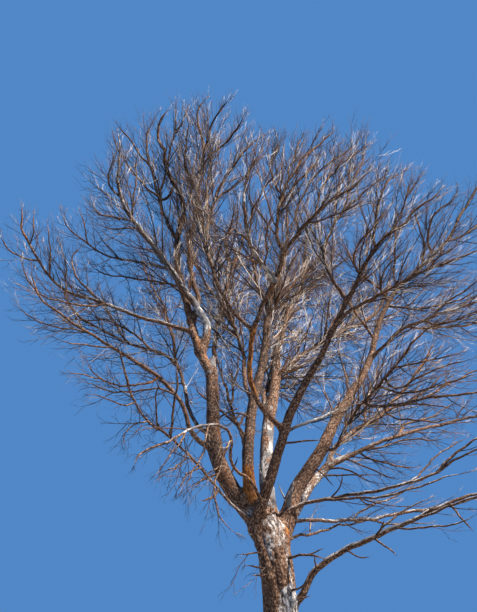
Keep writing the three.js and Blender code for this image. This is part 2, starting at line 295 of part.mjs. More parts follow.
// part of a course from one share of it to another, in even steps, each end drawn out by extra
function stretch(points, from, to, steps, extraStart, extraEnd) {
  const out = [];
  for (let i = 0; i <= steps; i++) out.push(along(points, from + (to - from) * i / steps));
  const a = out[0].clone().sub(out[1]).normalize(), b = out[steps].clone().sub(out[steps - 1]).normalize();
  out[0].addScaledVector(a, extraStart);
  out[steps].addScaledVector(b, extraEnd);
  return out;
}

const wasm = await Module();
wasm.setup();
function solid(geometry) {
  geometry.deleteAttribute("normal");
  geometry.deleteAttribute("uv");
  const merged = mergeVertices(geometry, 1e-3);
  return new wasm.Manifold(new wasm.Mesh({
    numProp: 3, vertProperties: new Float32Array(merged.attributes.position.array), triVerts: new Uint32Array(merged.index.array) }));
}
function mesh(name, piece, colour) {
  const m = piece.getMesh();
  const geometry = new THREE.BufferGeometry();
  geometry.setAttribute("position", new THREE.Float32BufferAttribute(Array.from(m.vertProperties), 3));
  geometry.setIndex(Array.from(m.triVerts));
  const flat = geometry.toNonIndexed();
  flat.computeVertexNormals();
  const made = new THREE.Mesh(flat, new THREE.MeshStandardMaterial({ color: colour, roughness: 0.92, metalness: 0 }));
  made.name = name;
  return made;
}
const biggest = (piece) => {
  const parts = piece.decompose();
  return parts.reduce((a, b) => (b.volume() > a.volume() ? b : a), parts[0]);
};
const boxesMeet = (a, b) => {
  const p = a.boundingBox(), q = b.boundingBox();
  return [0, 1, 2].every((k) => p.min[k] <= q.max[k] && q.min[k] <= p.max[k]);
};

// trunk: level rings up its leaning course
const courses = { trunk: course(new THREE.Vector3(0, 0, 0), TRUNK_COURSE[0], TRUNK_COURSE[1]) };
const rows = {};
function trunkSolid(grow) {
  const line = courses.trunk, top = line[line.length - 1].z;
  const rings = TRUNK_RADII.map(([height, radius]) => {
    const middle = height < top ? along(line, height / top) : line[line.length - 1].clone();
    const fade = Math.exp(-height / ROOT_LOBE_HEIGHT);
    const ring = [];
    for (let k = 0; k < TRUNK_SIDES; k++) {
      const turn = 2 * Math.PI * k / TRUNK_SIDES;
      const lobe = ROOT_LOBE_DEPTH * fade * Math.sin(ROOT_LOBES * turn + 0.7) + 0.045 * Math.sin(2 * turn + 1.1 + height / 2600) + 0.025 * Math.sin(3 * turn - height / 1300);
      const r = radius * (1 + lobe) + grow;
      ring.push(new THREE.Vector3(middle.x + Math.cos(turn) * r, middle.y + Math.sin(turn) * r, height));
    }
    return ring;
  });
  if (grow) for (const p of rings[rings.length - 1]) p.z += grow;
  return solid(skin(rings));
}

// the thickness of a limb along it: a quick swell at its foot, then an even taper
const limbRadius = (row, s) => row[5] + (row[4] - row[5]) * (1 - s) ** 0.85 + 0.22 * row[4] * Math.exp(-s * row[3] / (3 * row[4]));
const courseOf = (row) => course(along(courses[row[1]], row[2]), row[3], row[6]);
for (const row of LIMBS) {
  courses[row[0]] = courseOf(row);
  rows[row[0]] = row;
}
const counts = {};
const massBranches = {};
for (const row of BRANCHES) {
  counts[row[0]] = (counts[row[0]] || 0) + 1;
  const name = `${row[0]}_${counts[row[0]]}`;
  courses[name] = courseOf(row);
  rows[name] = row;
  (massBranches[row[0]] ||= []).push(name);
}

const enters = {};
for (const [, limb, at] of CORES) if (limb) enters[limb] = at;
function boughSolid(row, grow) {
  const line = courses[row[0]], until = enters[row[0]] ?? 1;
  const steps = Math.max(3, Math.round(row[3] * until / BOUGH_RING));
  const points = stretch(line, 0, until, steps, 0, grow);
  return solid(skin(ringsAlong(points, BOUGH_SIDES, (s) => limbRadius(row, s * until) + grow)));
}

// the end of a limb and the branch that carries it on, as one even course
function joined(first, from, to, second) {
  const points = [];
  for (let i = 0; i <= COURSE_STEPS; i++) points.push(along(first, from + (to - from) * i / COURSE_STEPS));
  points.push(...second.slice(1));
  const run = [0];
  for (let i = 1; i < points.length; i++) run.push(run[i - 1] + points[i].distanceTo(points[i - 1]));
  const out = [];
  for (let i = 0, k = 0; i <= COURSE_STEPS; i++) {
    const want = run[run.length - 1] * i / COURSE_STEPS;
    while (k < run.length - 2 && run[k + 1] < want) k++;
    out.push(points[k].clone().lerp(points[k + 1], Math.min(1, (want - run[k]) / (run[k + 1] - run[k]))));
  }
  return out;
}
const lengthOf = (line) => line.slice(1).reduce((sum, p, i) => sum + p.distanceTo(line[i]), 0);

// one plume: thin at its foot, fullest past its middle, ragged, closing towards its tip
function plume(line, size, seed, grow) {
  const length = lengthOf(line);
  const points = stretch(line, 0, 1, length > 2600 ? 4 : 3, grow, PLUME_REACH * size + grow);
  const width = PLUME_RADIUS * size;
  return solid(skin(ringsAlong(points, PLUME_SIDES, (s, turn) => {
    const swell = 0.16 + 0.84 * Math.sin(Math.PI * Math.min(1, s * 1.04) ** 0.8) ** 0.75;
    const ragged = 1 + 0.2 * Math.sin(2 * turn + seed * 1.7 + 4 * s) + 0.14 * Math.sin(3 * turn - seed * 2.3 + 7 * s);
    return width * Math.max(swell, 0.16) * ragged + grow;
  })));
}
// a mass: the plume that carries its bough on, and those branches whose ends lie furthest from the ones already taken
function massSolid(name, grow) {
  const [, core, at] = CORES.find((row) => row[0] === name);
  const left = [...massBranches[name]];
  const ahead = left.find((branch) => rows[branch][1] === core && rows[branch][2] > 0.96);
  const lines = [];
  if (core) lines.push(ahead ? joined(courses[core], at, 1, courses[ahead]) : stretch(courses[core], at, 1, COURSE_STEPS, 0, 0));
  const taken = [ahead];
  const whole = (branch) => (!left.includes(rows[branch][1]) ? courses[branch]
    : joined(whole(rows[branch][1]), 0, rows[branch][2], courses[branch]));
  const end = (line) => line[line.length - 1];
  const apart = (branch) => Math.min(99999, ...lines.map((line) => end(line).distanceTo(end(courses[branch]))));
  while (lines.length < PLUMES_MOST) {
    const next = left.filter((branch) => !taken.includes(branch)).sort((a, b) => apart(b) - apart(a))[0];
    if (!next || apart(next) < PLUMES_APART) break;
    taken.push(next);
    lines.push(whole(next));
  }
  return lines.map((line, i) => plume(line, Math.min(1.2, Math.max(0.8, lengthOf(line) / 3600 + 0.5)), name.length + 3 * i, grow))
    .reduce((a, b) => a.add(b)).asOriginal().simplify(EVEN_OUT);
}

const group = new THREE.Group();
const made = [];
function place(name, piece, grown, colour) {
  let cut = piece;
  for (const other of made) if (boxesMeet(cut, other.grown)) cut = cut.subtract(other.grown);
  cut = biggest(cut);
  made.push({ name, grown });
  group.add(mesh(name, cut, colour));
}
place("trunk", trunkSolid(0), trunkSolid(GAP), BARK);
for (const row of LIMBS) {
  if (SLENDER.includes(row[0])) continue;
  place(row[0], boughSolid(row, 0), boughSolid(row, GAP), PALE.includes(row[0]) ? BLEACHED : BARK);
}
for (const [name] of CORES) place(name, massSolid(name, 0), massSolid(name, MASS_GAP), TWIG);

export default group;
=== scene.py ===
# The looks of a whole bare tree, in metres: bark-covered trunk and limbs, weathered branches, and open sprays of
# fine twigs. Every limb is worked out from its own row of sizes, and every twig grows on from a limb by a seeded rule.
import math

import bpy
import numpy as np
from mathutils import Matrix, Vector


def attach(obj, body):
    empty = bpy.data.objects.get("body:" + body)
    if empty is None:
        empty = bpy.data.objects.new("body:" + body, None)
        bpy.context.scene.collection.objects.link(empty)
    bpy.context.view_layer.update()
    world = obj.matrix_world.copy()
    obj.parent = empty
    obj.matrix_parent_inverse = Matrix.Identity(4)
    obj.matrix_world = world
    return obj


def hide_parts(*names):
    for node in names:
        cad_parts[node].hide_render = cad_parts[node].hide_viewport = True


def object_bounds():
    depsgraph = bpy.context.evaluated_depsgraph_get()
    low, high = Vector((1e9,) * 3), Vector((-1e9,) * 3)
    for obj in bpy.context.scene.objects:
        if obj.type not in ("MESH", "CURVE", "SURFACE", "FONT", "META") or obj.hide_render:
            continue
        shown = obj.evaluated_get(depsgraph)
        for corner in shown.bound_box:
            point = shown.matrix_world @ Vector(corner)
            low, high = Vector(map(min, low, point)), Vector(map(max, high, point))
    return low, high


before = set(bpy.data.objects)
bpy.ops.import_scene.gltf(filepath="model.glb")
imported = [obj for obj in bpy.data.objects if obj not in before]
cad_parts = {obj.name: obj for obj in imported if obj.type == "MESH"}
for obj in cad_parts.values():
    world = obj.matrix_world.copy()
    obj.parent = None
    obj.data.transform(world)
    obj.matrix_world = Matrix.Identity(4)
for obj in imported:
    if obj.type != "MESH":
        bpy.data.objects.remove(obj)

first_lo, first_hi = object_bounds()
MM = 0.001

# ---------------------------------------------------------------- sizes, the same as the solids' (mm and degrees)
TRUNK_RADII = [[0, 500], [160, 430], [420, 375], [900, 345], [1700, 322], [2700, 300], [3600, 290], [4350, 272], [4750, 292], [5080, 325], [5330, 300], [5520, 215], [5640, 80]]
ROOT_LOBES, ROOT_LOBE_DEPTH, ROOT_LOBE_HEIGHT = 5, 0.17, 420
# [name, limb it leaves, how far along, length, radius at the foot, radius at the end, [[bearing, rise], ...]]
TRUNK_COURSE = [5390, [[173, 88], [-177, 85.5], [178, 86.5], [174.5, 82.5]]]
LIMBS = [
    ["left_limb", "trunk", 0.95, 3950, 178, 126, [[172.5, 46.5], [167, 59.5], [91.5, 81.5], [132, 80.5]]],
    ["left_limb_top", "left_limb", 1.0, 6750, 105, 39, [[168, 59.5], [143.5, 75], [168.5, 74], [154.5, 82], [1, 76.5], [-151.5, 51.5], [-85, 80]]],
    ["left_pale_stem", "left_limb_top", 0.09, 4810, 86, 29, [[-16, 54.5], [164.5, 59], [-151.5, 51], [-146, 42], [-142, 40], [-89, 63.5]]],
    ["left_middle_stem", "left_limb_top", 0.22, 4650, 67, 37, [[2, 57], [164.5, 67.5], [-111.5, 82], [-43.5, 70.5], [-97, 67], [-51, 59.5]]],
    ["left_reach", "left_limb_top", 0.17, 4600, 55, 28, [[-175, 18], [-179.5, 17], [-166, 16.5], [-168, 13], [-143, 46.5], [-150, 60.5]]],
    ["left_low_limb", "left_limb", 0.54, 4090, 58, 23, [[-168.5, 9.5], [-160.5, 75], [-143.5, 31.5], [-147, 15], [-137.5, 11.5], [-137.5, 13.5]]],
    ["left_back_limb", "left_limb", 0.61, 5730, 54, 31, [[147, 30], [119, 67], [121.5, 61.5], [153.5, 27], [161.5, 31], [158, 40]]],
    ["front_low_left", "trunk", 0.98, 3890, 45, 24, [[-164, 13.5], [-139.5, 36], [-134, 29.5], [-130.5, 10], [-100.5, 38]]],
    ["front_curved", "trunk", 0.97, 3980, 45, 22, [[-114, 40], [-114, 45.5], [-131, 8], [-82, 38], [-135.5, -9], [-127.5, -38], [-123, -35.5]]],
    ["front_limb", "trunk", 0.93, 3460, 115, 66, [[171, 9.5], [-54, 50.5], [-32, 68], [-46, 67.5], [-25.5, 60.5], [-26, 56.5]]],
    ["front_limb_top", "front_limb", 1.0, 3520, 66, 27, [[-35.5, 50.5], [-36, 58], [-40.5, 53.5], [-41.5, 47.5], [-28, 12.5]]],
    ["front_right_arm", "front_limb_top", 0.33, 2200, 38, 22, [[-35.5, 24], [-33.5, 12], [-41, 9], [-38, -10]]],
    ["front_inner_left_arm", "front_limb_top", 0.46, 2070, 38, 25, [[-165.5, 49.5], [-159.5, 71], [-45.5, 66], [-23, 44.5]]],
    ["front_centre", "front_limb", 0.67, 3640, 55, 42, [[-156.5, 24.5], [-131.5, 45], [-88, 64.5], [-57.5, 53.5], [-48.5, 49], [-64.5, 57]]],
    ["front_centre_left", "front_centre", 1.0, 1960, 37, 24, [[-151, 48], [-50, 74.5], [-16, 84.5], [3.5, 71.5], [-4.5, 48.5]]],
    ["front_centre_right", "front_centre", 1.0, 1290, 46, 27, [[-43.5, 24.5], [-43, 33], [-24.5, 26]]],
    ["front_inner", "front_centre", 0.56, 3250, 41, 25, [[-159, 44.5], [-153.5, 45], [-144, 70], [164.5, 78], [-10, 79.5], [6, 73.5]]],
    ["front_lit", "front_centre", 0.84, 1900, 32, 18, [[-114.5, 7], [-115, -10.5], [-104, 18], [-99.5, 54.5]]],
    ["centre_limb", "trunk", 0.97, 5990, 107, 52, [[-172.5, 52], [131.5, 86], [48.5, 77.5], [31, 74.5], [78, 82.5], [15, 66.5]]],
    ["centre_left_arm", "centre_limb", 0.46, 3670, 50, 42, [[125, 59.5], [90, 67], [131.5, 64.5], [133.5, 65.5]]],
    ["bleached_stem", "trunk", 0.96, 4630, 116, 79, [[106, 72], [94.5, 73.5], [69, 72], [58, 71], [99, 77.5]]],
    ["back_right_arm", "bleached_stem", 0.61, 4750, 62, 38, [[144, 55.5], [41, 53.5], [32, 46], [29, 39], [27, 38], [25, 33]]],
    ["back_centre", "bleached_stem", 1.0, 4600, 79, 56, [[70, 54.5], [70, 57], [59, 54.5], [71.5, 61.5]]],
    ["back_left", "left_limb", 0.85, 5460, 62, 48, [[88, 57], [93.5, 59], [79, 59], [77.5, 61.5]]],
    ["back_low", "trunk", 0.98, 5750, 63, 38, [[110, 41.5], [94.5, 47.5], [102, 48.5], [109, 51]]],
    ["right_limb", "trunk", 0.93, 3470, 155, 90, [[12.5, 44.5], [33.5, 78], [10.5, 54.5], [20, 58.5], [19, 64], [15, 52.5]]],
    ["right_limb_top", "right_limb", 1.0, 5830, 90, 34, [[18.5, 55.5], [27, 59.5], [19.5, 75.5], [-8.5, 59.5], [-6.5, 43], [-12.5, 40.5], [-11.5, 66.5]]],
    ["back_right_limb", "trunk", 0.94, 2850, 98, 84, [[47, 43.5], [55, 48], [36, 41]]],
    ["back_right_up", "back_right_limb", 0.97, 4140, 63, 38, [[75.5, 59], [39.5, 38.5], [39, 30], [47, 44], [40, 42]]],
    ["back_right_out", "back_right_limb", 1.0, 3260, 52, 35, [[19, 26], [18, 28.5], [27, 22], [22.5, 19.5]]],
    ["right_slender", "right_limb", 0.66, 2610, 35, 23, [[-40.5, -55.5], [-35, 65.5], [-22.5, 51], [-59.5, 6], [-31, 49.5], [-61, 17.5]]],
    ["right_arm", "right_limb_top", 0.24, 1780, 44, 32, [[-35.5, 21.5], [-49.5, 28], [-27.5, 7.5], [-28.5, 6]]],
    ["right_middle_arm", "right_slender", 0.54, 1680, 34, 23, [[-56, -43.5], [-50, -9], [-35, -1]]],
    ["right_low_arm", "trunk", 1.0, 3170, 45, 28, [[-16, 42], [1, 14], [-15.5, 0.5], [-16.5, 11.5], [-14.5, 14.5]]],
    ["right_back_low_arm", "trunk", 0.97, 4360, 38, 33, [[37, 30], [50, 11], [46, 14], [45, 19]]],
    ["right_lowest_arm", "trunk", 0.73, 3100, 63, 30, [[-25, 10.5], [-26, 59], [-24, 27], [-21.5, 13.5], [-23.5, 17], [-27.5, 24]]],
]
BRANCHES = [
    ["left_top", "left_limb_top", 1.0, 1230, 39, 16, [[-158.5, 38.5], [-66, 68.5], [-25, 40]]],
    ["left_top", "left_limb_top", 0.59, 3940, 39, 16, [[-161, 49], [-139, 72.5], [-144, 66], [-90, 79], [-22.5, 49.5]]],
    ["left_top", "left_limb_top", 0.84, 3630, 33, 16, [[-175.5, -73.5], [-13, 81.5], [-64, 69], [-106, 75]]],
    ["left_top", "left_top_3", 0.73, 910, 23, 13, [[-35, 37.5], [-37, 63.5], [-25.5, 62]]],
    ["left_top", "left_top_2", 0.56, 1320, 23, 13, [[-137, 28], [-139.5, 37], [-146.5, 42.5]]],
    ["left_top", "left_top_2", 0.33, 1960, 25, 12, [[-155, 27], [-146, 43], [-126, 60.5]]],
    ["left_middle_top", "left_middle_stem", 1.0, 1940, 32, 16, [[174, 81.5], [-159, 77.5], [-26, 48]]],
    ["left_middle_top", "left_middle_stem", 1.0, 1570, 30, 15, [[-78.5, 56], [-49.5, 50.5], [-34, 19.5]]],
    ["left_middle_top", "left_middle_stem", 0.86, 2000, 30, 14, [[-66.5, 34.5], [-32.5, 19], [-60.5, 49.5]]],
    ["left_middle_top", "left_middle_stem", 0.77, 2620, 27, 14, [[178.5, 56], [-64.5, 84], [-105.5, 78]]],
    ["left_pale_top", "left_pale_stem", 1.0, 1260, 25, 13, [[-56, 71.5], [-124.5, 76], [-136.5, 80.5]]],
    ["left_pale_top", "left_pale_stem", 0.91, 1270, 23, 11, [[-154, 7], [-63, 45], [170, 73.5]]],
    ["left_pale_top", "left_pale_stem", 0.78, 1430, 21, 11, [[-134, -26.5], [-134.5, -24], [-133, 74]]],
    ["left_pale_top", "left_pale_stem", 0.8, 1700, 21, 12, [[-51.5, 75], [-96, 72.5], [-64.5, 64]]],
    ["left_pale_top", "left_pale_stem", 0.74, 1010, 18, 10, [[-168.5, -13.5], [-152.5, -24.5], [-134.5, 11.5]]],
    ["left_arc", "left_limb_top", 0.45, 4110, 28, 14, [[162, 27], [164, 18.5], [168, 29.5], [-171.5, 41], [-142.5, 74]]],
    ["left_arc", "left_arc_1", 0.66, 1030, 18, 12, [[-164, 62], [-117.5, 80], [-157, 58]]],
    ["left_arc", "left_arc_1", 0.41, 670, 16, 11, [[-172, 55], [-162.5, 33.5], [-124, 19]]],
    ["left_arc", "left_reach", 0.47, 2620, 24, 12, [[155, 39], [154, 53.5], [147.5, 65], [17, 47]]],
    ["left_arc", "left_limb_top", 0.37, 3140, 23, 13, [[153, 32], [158.5, 20.5], [159.5, 22.5], [157, 55]]],
    ["left_tip", "left_reach", 0.98, 840, 25, 11, [[-157, 52], [-108.5, 72.5], [-118, 76.5]]],
    ["left_tip", "left_reach", 0.95, 750, 17, 10, [[-62, 36], [-79.5, 64], [-108.5, 73.5]]],
    ["left_tip", "left_reach", 0.85, 1170, 20, 10, [[-132.5, -21.5], [-133, -2.5], [-108, 75.5]]],
    ["left_tip", "left_reach", 0.65, 1370, 20, 10, [[-96, 56.5], [-157, 78], [177.5, 68.5]]],
    ["left_tip", "left_reach", 0.76, 1330, 18, 10, [[-74.5, 37], [-127, 72.5], [-168, 74]]],
    ["left_tip", "left_reach", 0.46, 2630, 24, 10, [[-132.5, -43], [-132.5, -17.5], [-130.5, -15.5], [-156, 41], [-70, 58.5]]],
    ["left_low", "left_low_limb", 1.0, 1410, 20, 10, [[-169, 39], [-167, 31.5], [-166, 69.5], [-91, 79]]],
    ["left_low", "left_low_limb", 0.85, 1550, 17, 8, [[-156, 12.5], [-156, -8.5], [-158, 17], [-144.5, 47]]],
    ["left_low", "left_low_limb", 0.73, 1260, 17, 8, [[-130.5, -20], [-127, -20], [-168.5, 17.5]]],
    ["left_low", "left_low_limb", 0.46, 1940, 20, 9, [[-140.5, -48.5], [-136, -21], [-140.5, -2], [-109, 43]]],
    ["left_low", "left_low_limb", 0.34, 2310, 20, 9, [[-139.5, 7], [-148, -29.5], [-128.5, -2], [-125, -16.5]]],
    ["left_low", "left_low_4", 0.73, 900, 13, 8, [[-116.5, -16], [-118, -11], [-158.5, -18]]],
    ["left_back_top", "left_back_limb", 1.0, 1800, 30, 13, [[173, 29.5], [163, 61.5], [166.5, 75]]],
    ["left_back_top", "left_back_limb", 0.63, 3320, 26, 13, [[157, 54], [160, 36.5], [166, 8.5], [164.5, 25.5]]],
    ["left_back_top", "left_back_limb", 0.41, 3720, 33, 16, [[117, 57.5], [107.5, 64], [130, 57], [139.5, 53]]],
    ["left_back_top", "left_back_limb", 0.75, 2900, 26, 14, [[136.5, 52], [138.5, 50.5], [139, 65], [146, 60]]],
    ["left_back_top", "left_back_top_3", 0.63, 3160, 25, 14, [[127, 62], [142, 59.5], [125.5, 76.5]]],
    ["front_left_low", "front_low_left", 1.0, 730, 21, 9, [[-132, 69.5], [-120.5, 63.5], [-132.5, 34.5]]],
    ["front_left_low", "front_low_left", 0.74, 1120, 17, 8, [[-90.5, 16.5], [-91.5, 19], [-64.5, 43]]],
    ["front_left_low", "front_low_left", 0.66, 1330, 24, 11, [[-83.5, 72], [-59.5, 64], [-86.5, 73.5], [-125, 66.5]]],
    ["front_left_low", "front_low_left", 0.81, 1170, 13, 7, [[-109.5, -31], [-107.5, -34.5], [-106.5, -75.5]]],
    ["front_left_low", "front_low_left", 0.92, 970, 13, 7, [[-137.5, -34], [-133, -0], [-137.5, -13.5]]],
    ["front_hanging", "front_curved", 1.0, 770, 18, 7, [[-169.5, -19.5], [-141, -41.5], [-91.5, -66]]],
    ["front_hanging", "front_curved", 0.72, 1770, 16, 7, [[-101, -50.5], [-95.5, -56], [-144.5, -52.5]]],
    ["front_hanging", "front_curved", 0.87, 1210, 14, 6, [[-104.5, -58.5], [-121, -51.5], [-135.5, -40.5]]],
    ["front_hanging", "front_curved", 0.54, 2290, 20, 8, [[-129, -51], [-98.5, -51.5], [-90, -68], [-2, -29.5]]],
    ["front_hanging", "front_hanging_4", 0.32, 1350, 12, 6, [[-109.5, -37], [-114.5, -29.5], [-143, -67.5]]],
    ["front_upper_left", "front_inner", 1.0, 1990, 24, 12, [[-26, 74.5], [-10.5, 61], [-7.5, 53], [-12, 25.5]]],
    ["front_upper_left", "front_inner", 0.96, 1120, 18, 10, [[-27.5, 38.5], [-20.5, 23.5], [-60.5, 62.5]]],
    ["front_upper_left", "front_inner", 0.44, 1530, 19, 10, [[-65, 47.5], [-45.5, 51], [-128, 67.5]]],
    ["front_upper_left", "front_inner", 0.69, 1250, 18, 10, [[-133.5, 62], [-134.5, 64], [-146, 54]]],
    ["front_upper_left", "front_inner", 0.9, 2070, 18, 11, [[157, 71], [34.5, 85], [-3, 59]]],
    ["front_lit_top", "front_lit", 1.0, 1410, 18, 9, [[-87, 78.5], [-30, 69], [-8.5, 52.5]]],
    ["front_lit_top", "front_lit", 0.65, 1610, 15, 8, [[-126.5, 14.5], [-107.5, -54.5], [-8, 66.5]]],
    ["front_lit_top", "front_lit", 0.77, 1150, 15, 8, [[-76.5, 35], [-54, 32], [-30, 34]]],
    ["front_lit_top", "front_lit", 0.24, 1860, 18, 8, [[-84.5, -10], [-99, -11.5], [-50.5, 24]]],
    ["front_lit_top", "front_lit", 0.36, 1600, 16, 8, [[-121, -19], [-121, -22], [-128, 44.5]]],
    ["front_centre_top", "front_centre_left", 1.0, 1400, 24, 11, [[-0, 70], [0.5, 47], [-0.5, 57]]],
    ["front_centre_top", "front_centre_left", 0.47, 1300, 19, 10, [[-53.5, 42.5], [-22, 38], [-3, 54.5]]],
    ["front_centre_top", "front_centre_left", 0.63, 2020, 19, 10, [[152.5, 65.5], [93, 80.5], [3, 50.5]]],
    ["front_centre_top", "front_centre_left", 0.86, 1630, 18, 10, [[78.5, 76], [35.5, 70.5], [11.5, 67]]],
    ["front_right_top", "front_centre_right", 1.0, 970, 22, 10, [[-16.5, 25], [-14, 34.5], [-21, 56]]],
    ["front_right_top", "front_centre_right", 0.35, 2720, 20, 10, [[-149.5, 77.5], [-9.5, 63], [-6.5, 40.5], [-5.5, 48.5]]],
    ["front_right_top", "front_centre_right", 0.69, 1870, 18, 10, [[-76.5, 78], [-20.5, 58.5], [-9, 45], [-7, 24.5]]],
    ["front_right_top", "front_centre_right", 0.52, 1380, 16, 8, [[-49.5, -28.5], [-48.5, -12], [-27, 25]]],
    ["front_inner_top", "front_inner_left_arm", 1.0, 1360, 22, 10, [[-14.5, 52.5], [-10, 32], [-10.5, 50.5]]],
    ["front_inner_top", "front_inner_left_arm", 0.84, 2620, 20, 11, [[74.5, 84.5], [10.5, 66], [33, 83.5]]],
    ["front_inner_top", "front_inner_left_arm", 0.57, 1510, 20, 10, [[168, 64], [174, 78], [-175, 79.5]]],
    ["front_inner_top", "front_inner_left_arm", 0.9, 2800, 18, 11, [[18.5, 66], [8, 68.5], [-14, 81.5]]],
    ["front_limb_crown", "front_limb_top", 1.0, 1040, 25, 11, [[-27, 60], [-12, 28], [-17, 55]]],
    ["front_limb_crown", "front_limb_top", 0.79, 2060, 25, 11, [[-103, 64.5], [-61, 67], [7.5, 60.5], [-5, 31.5]]],
    ["front_limb_crown", "front_limb_top", 0.62, 1680, 19, 10, [[-154, 45.5], [-73, 12], [-0.5, 44.5], [-93.5, 64]]],
    ["front_limb_crown", "front_limb_top", 0.9, 1710, 19, 10, [[-12.5, 57], [-5, 67], [3, 49]]],
    ["front_right_fan", "front_right_arm", 1.0, 960, 21, 9, [[-15, 24], [-13, 13], [-12.5, 34.5]]],
    ["front_right_fan", "front_right_arm", 0.47, 1160, 19, 9, [[-113, 17], [-69.5, 10.5], [-0.5, 23.5]]],
    ["front_right_fan", "front_right_arm", 0.75, 1090, 16, 9, [[-57.5, 23.5], [-44.5, 4.5], [-11.5, 34.5]]],
    ["front_right_fan", "front_right_arm", 0.61, 1550, 17, 8, [[-61.5, -36.5], [-58.5, -25.5], [-23.5, -1.5]]],
    ["front_right_fan", "front_right_arm", 0.87, 1140, 14, 9, [[-27.5, 34], [-26, 57], [-7, 34.5]]],
    ["centre_top", "centre_limb", 1.0, 3250, 40, 17, [[23, 71], [41.5, 79], [52, 85.5], [6.5, 68.5]]],
    ["centre_top", "centre_limb", 0.88, 3250, 34, 15, [[-165, 63], [-165, 80.5], [-70.5, 81.5], [-25, 77]]],
    ["centre_top", "centre_limb", 0.81, 2920, 31, 14, [[-14, 75.5], [-3, 45], [-12.5, 51], [-100, 82.5]]],
    ["centre_left_top", "centre_left_arm", 1.0, 2960, 36, 16, [[168.5, 73], [151, 80], [-163.5, 74.5], [-18, 77]]],
    ["centre_left_top", "centre_left_arm", 1.0, 2630, 31, 14, [[34, 71.5], [27, 75], [12, 78.5]]],
    ["centre_left_top", "centre_left_arm", 0.6, 2510, 27, 14, [[124, 44], [136, 49], [167.5, 40]]],
    ["back_centre_top", "back_centre", 1.0, 1980, 49, 20, [[55.5, 76], [61.5, 79.5], [28.5, 81.5]]],
    ["back_centre_top", "back_centre", 0.69, 3630, 37, 18, [[51.5, 46], [41.5, 50], [47, 74.5]]],
    ["back_centre_top", "back_centre", 0.47, 4250, 36, 18, [[104, 49.5], [107.5, 57], [110, 73.5]]],
    ["back_right_top", "back_right_arm", 1.0, 2110, 36, 16, [[22.5, 36], [23.5, 57.5], [0.5, 69.5]]],
    ["back_right_top", "back_right_arm", 0.65, 3290, 31, 15, [[54, 51.5], [42, 55], [27.5, 68]]],
    ["back_right_top", "back_right_arm", 0.8, 3260, 30, 16, [[49, 38.5], [52.5, 53], [31, 52]]],
    ["back_right_top", "back_right_arm", 0.17, 3180, 28, 14, [[61, 23.5], [46, 34.5], [26.5, 48.5]]],
    ["back_left_top", "back_left", 1.0, 2300, 41, 18, [[74, 73], [113.5, 78], [170.5, 85]]],
    ["back_left_top", "back_left", 0.78, 3110, 34, 16, [[150.5, 58], [141, 62], [123.5, 71]]],
    ["back_left_top", "back_left", 0.59, 3840, 30, 16, [[66, 50], [61, 55], [60.5, 65]]],
    ["back_low_top", "back_low", 1.0, 2380, 36, 16, [[110, 61], [115, 62.5], [123, 62.5]]],
    ["back_low_top", "back_low", 0.8, 2360, 29, 15, [[140, 44], [139.5, 43], [131.5, 51.5]]],
    ["back_low_top", "back_low", 0.78, 3130, 29, 15, [[79, 49], [59.5, 45], [78.5, 58.5]]],
    ["back_low_top", "back_low", 1.0, 2920, 28, 16, [[76.5, 55], [82, 60], [69.5, 67]]],
    ["right_top", "right_limb_top", 1.0, 1660, 34, 15, [[-2.5, 62.5], [-8, 55], [-17.5, 57.5]]],
    ["right_top", "right_limb_top", 0.81, 2140, 28, 14, [[-148, 58.5], [-50.5, 61], [-5, 30.5], [-58, 84]]],
    ["right_top", "right_limb_top", 0.74, 1600, 26, 13, [[-52, 60.5], [-141.5, 74.5], [-104, 85]]],
    ["right_top", "right_limb_top", 0.9, 2260, 26, 14, [[14, 25.5], [13.5, 46.5], [18.5, 58.5]]],
    ["right_top", "right_limb_top", 0.59, 2480, 26, 14, [[119.5, 84.5], [10.5, 78.5], [-11, 83.5]]],
    ["right_top", "right_limb_top", 0.51, 2500, 32, 15, [[118, 74], [151, 51.5], [148, 72.5], [142.5, 76.5]]],
    ["right_top", "right_limb_top", 0.33, 1730, 27, 12, [[-140.5, 45.5], [-148.5, 50.5], [-167.5, 57]]],
    ["right_top", "right_top_6", 0.4, 2150, 24, 13, [[63, 68], [56.5, 73], [-79.5, 81]]],
    ["right_fan", "right_arm", 1.0, 1910, 29, 12, [[-9.5, 10], [-2, 24.5], [1.5, 51]]],
    ["right_fan", "right_arm", 0.58, 2940, 26, 11, [[8, -4], [7.5, 18], [14.5, 32]]],
    ["right_fan", "right_arm", 0.79, 1840, 21, 10, [[-48.5, -42.5], [-22, 17], [-32, -4.5]]],
    ["right_fan", "right_limb_top", 0.5, 2310, 25, 11, [[-30, -42.5], [-22, -1.5], [-10.5, 10.5], [-13.5, 38]]],
    ["right_fan", "right_arm", 0.88, 1580, 21, 11, [[-21.5, 47.5], [-16.5, 25], [-19, 41.5]]],
    ["right_middle_fan", "right_slender", 1.0, 1170, 23, 10, [[-32.5, 47.5], [-20, 40.5], [-5, 27]]],
    ["right_middle_fan", "right_slender", 0.9, 1360, 19, 9, [[-39.5, -13.5], [-38, -5.5], [-8.5, 19.5]]],
    ["right_middle_fan", "right_slender", 0.8, 2040, 21, 9, [[-6.5, -69.5], [-56.5, 10.5], [-8, 15], [-43, -1.5]]],
    ["right_middle_fan", "right_slender", 0.72, 2160, 21, 9, [[-44, -45], [-40.5, -9.5], [-43, -3.5], [-45.5, -6]]],
    ["right_lower_fan", "right_middle_arm", 1.0, 1470, 21, 9, [[-11.5, -4], [-6.5, 11.5], [-10.5, 33]]],
    ["right_lower_fan", "right_middle_arm", 0.43, 1810, 19, 8, [[-61.5, -23.5], [-60, -18.5], [-47.5, -47]]],
    ["right_lower_fan", "right_middle_arm", 0.35, 1960, 19, 8, [[-75.5, -58], [-55.5, -21], [-19, 10]]],
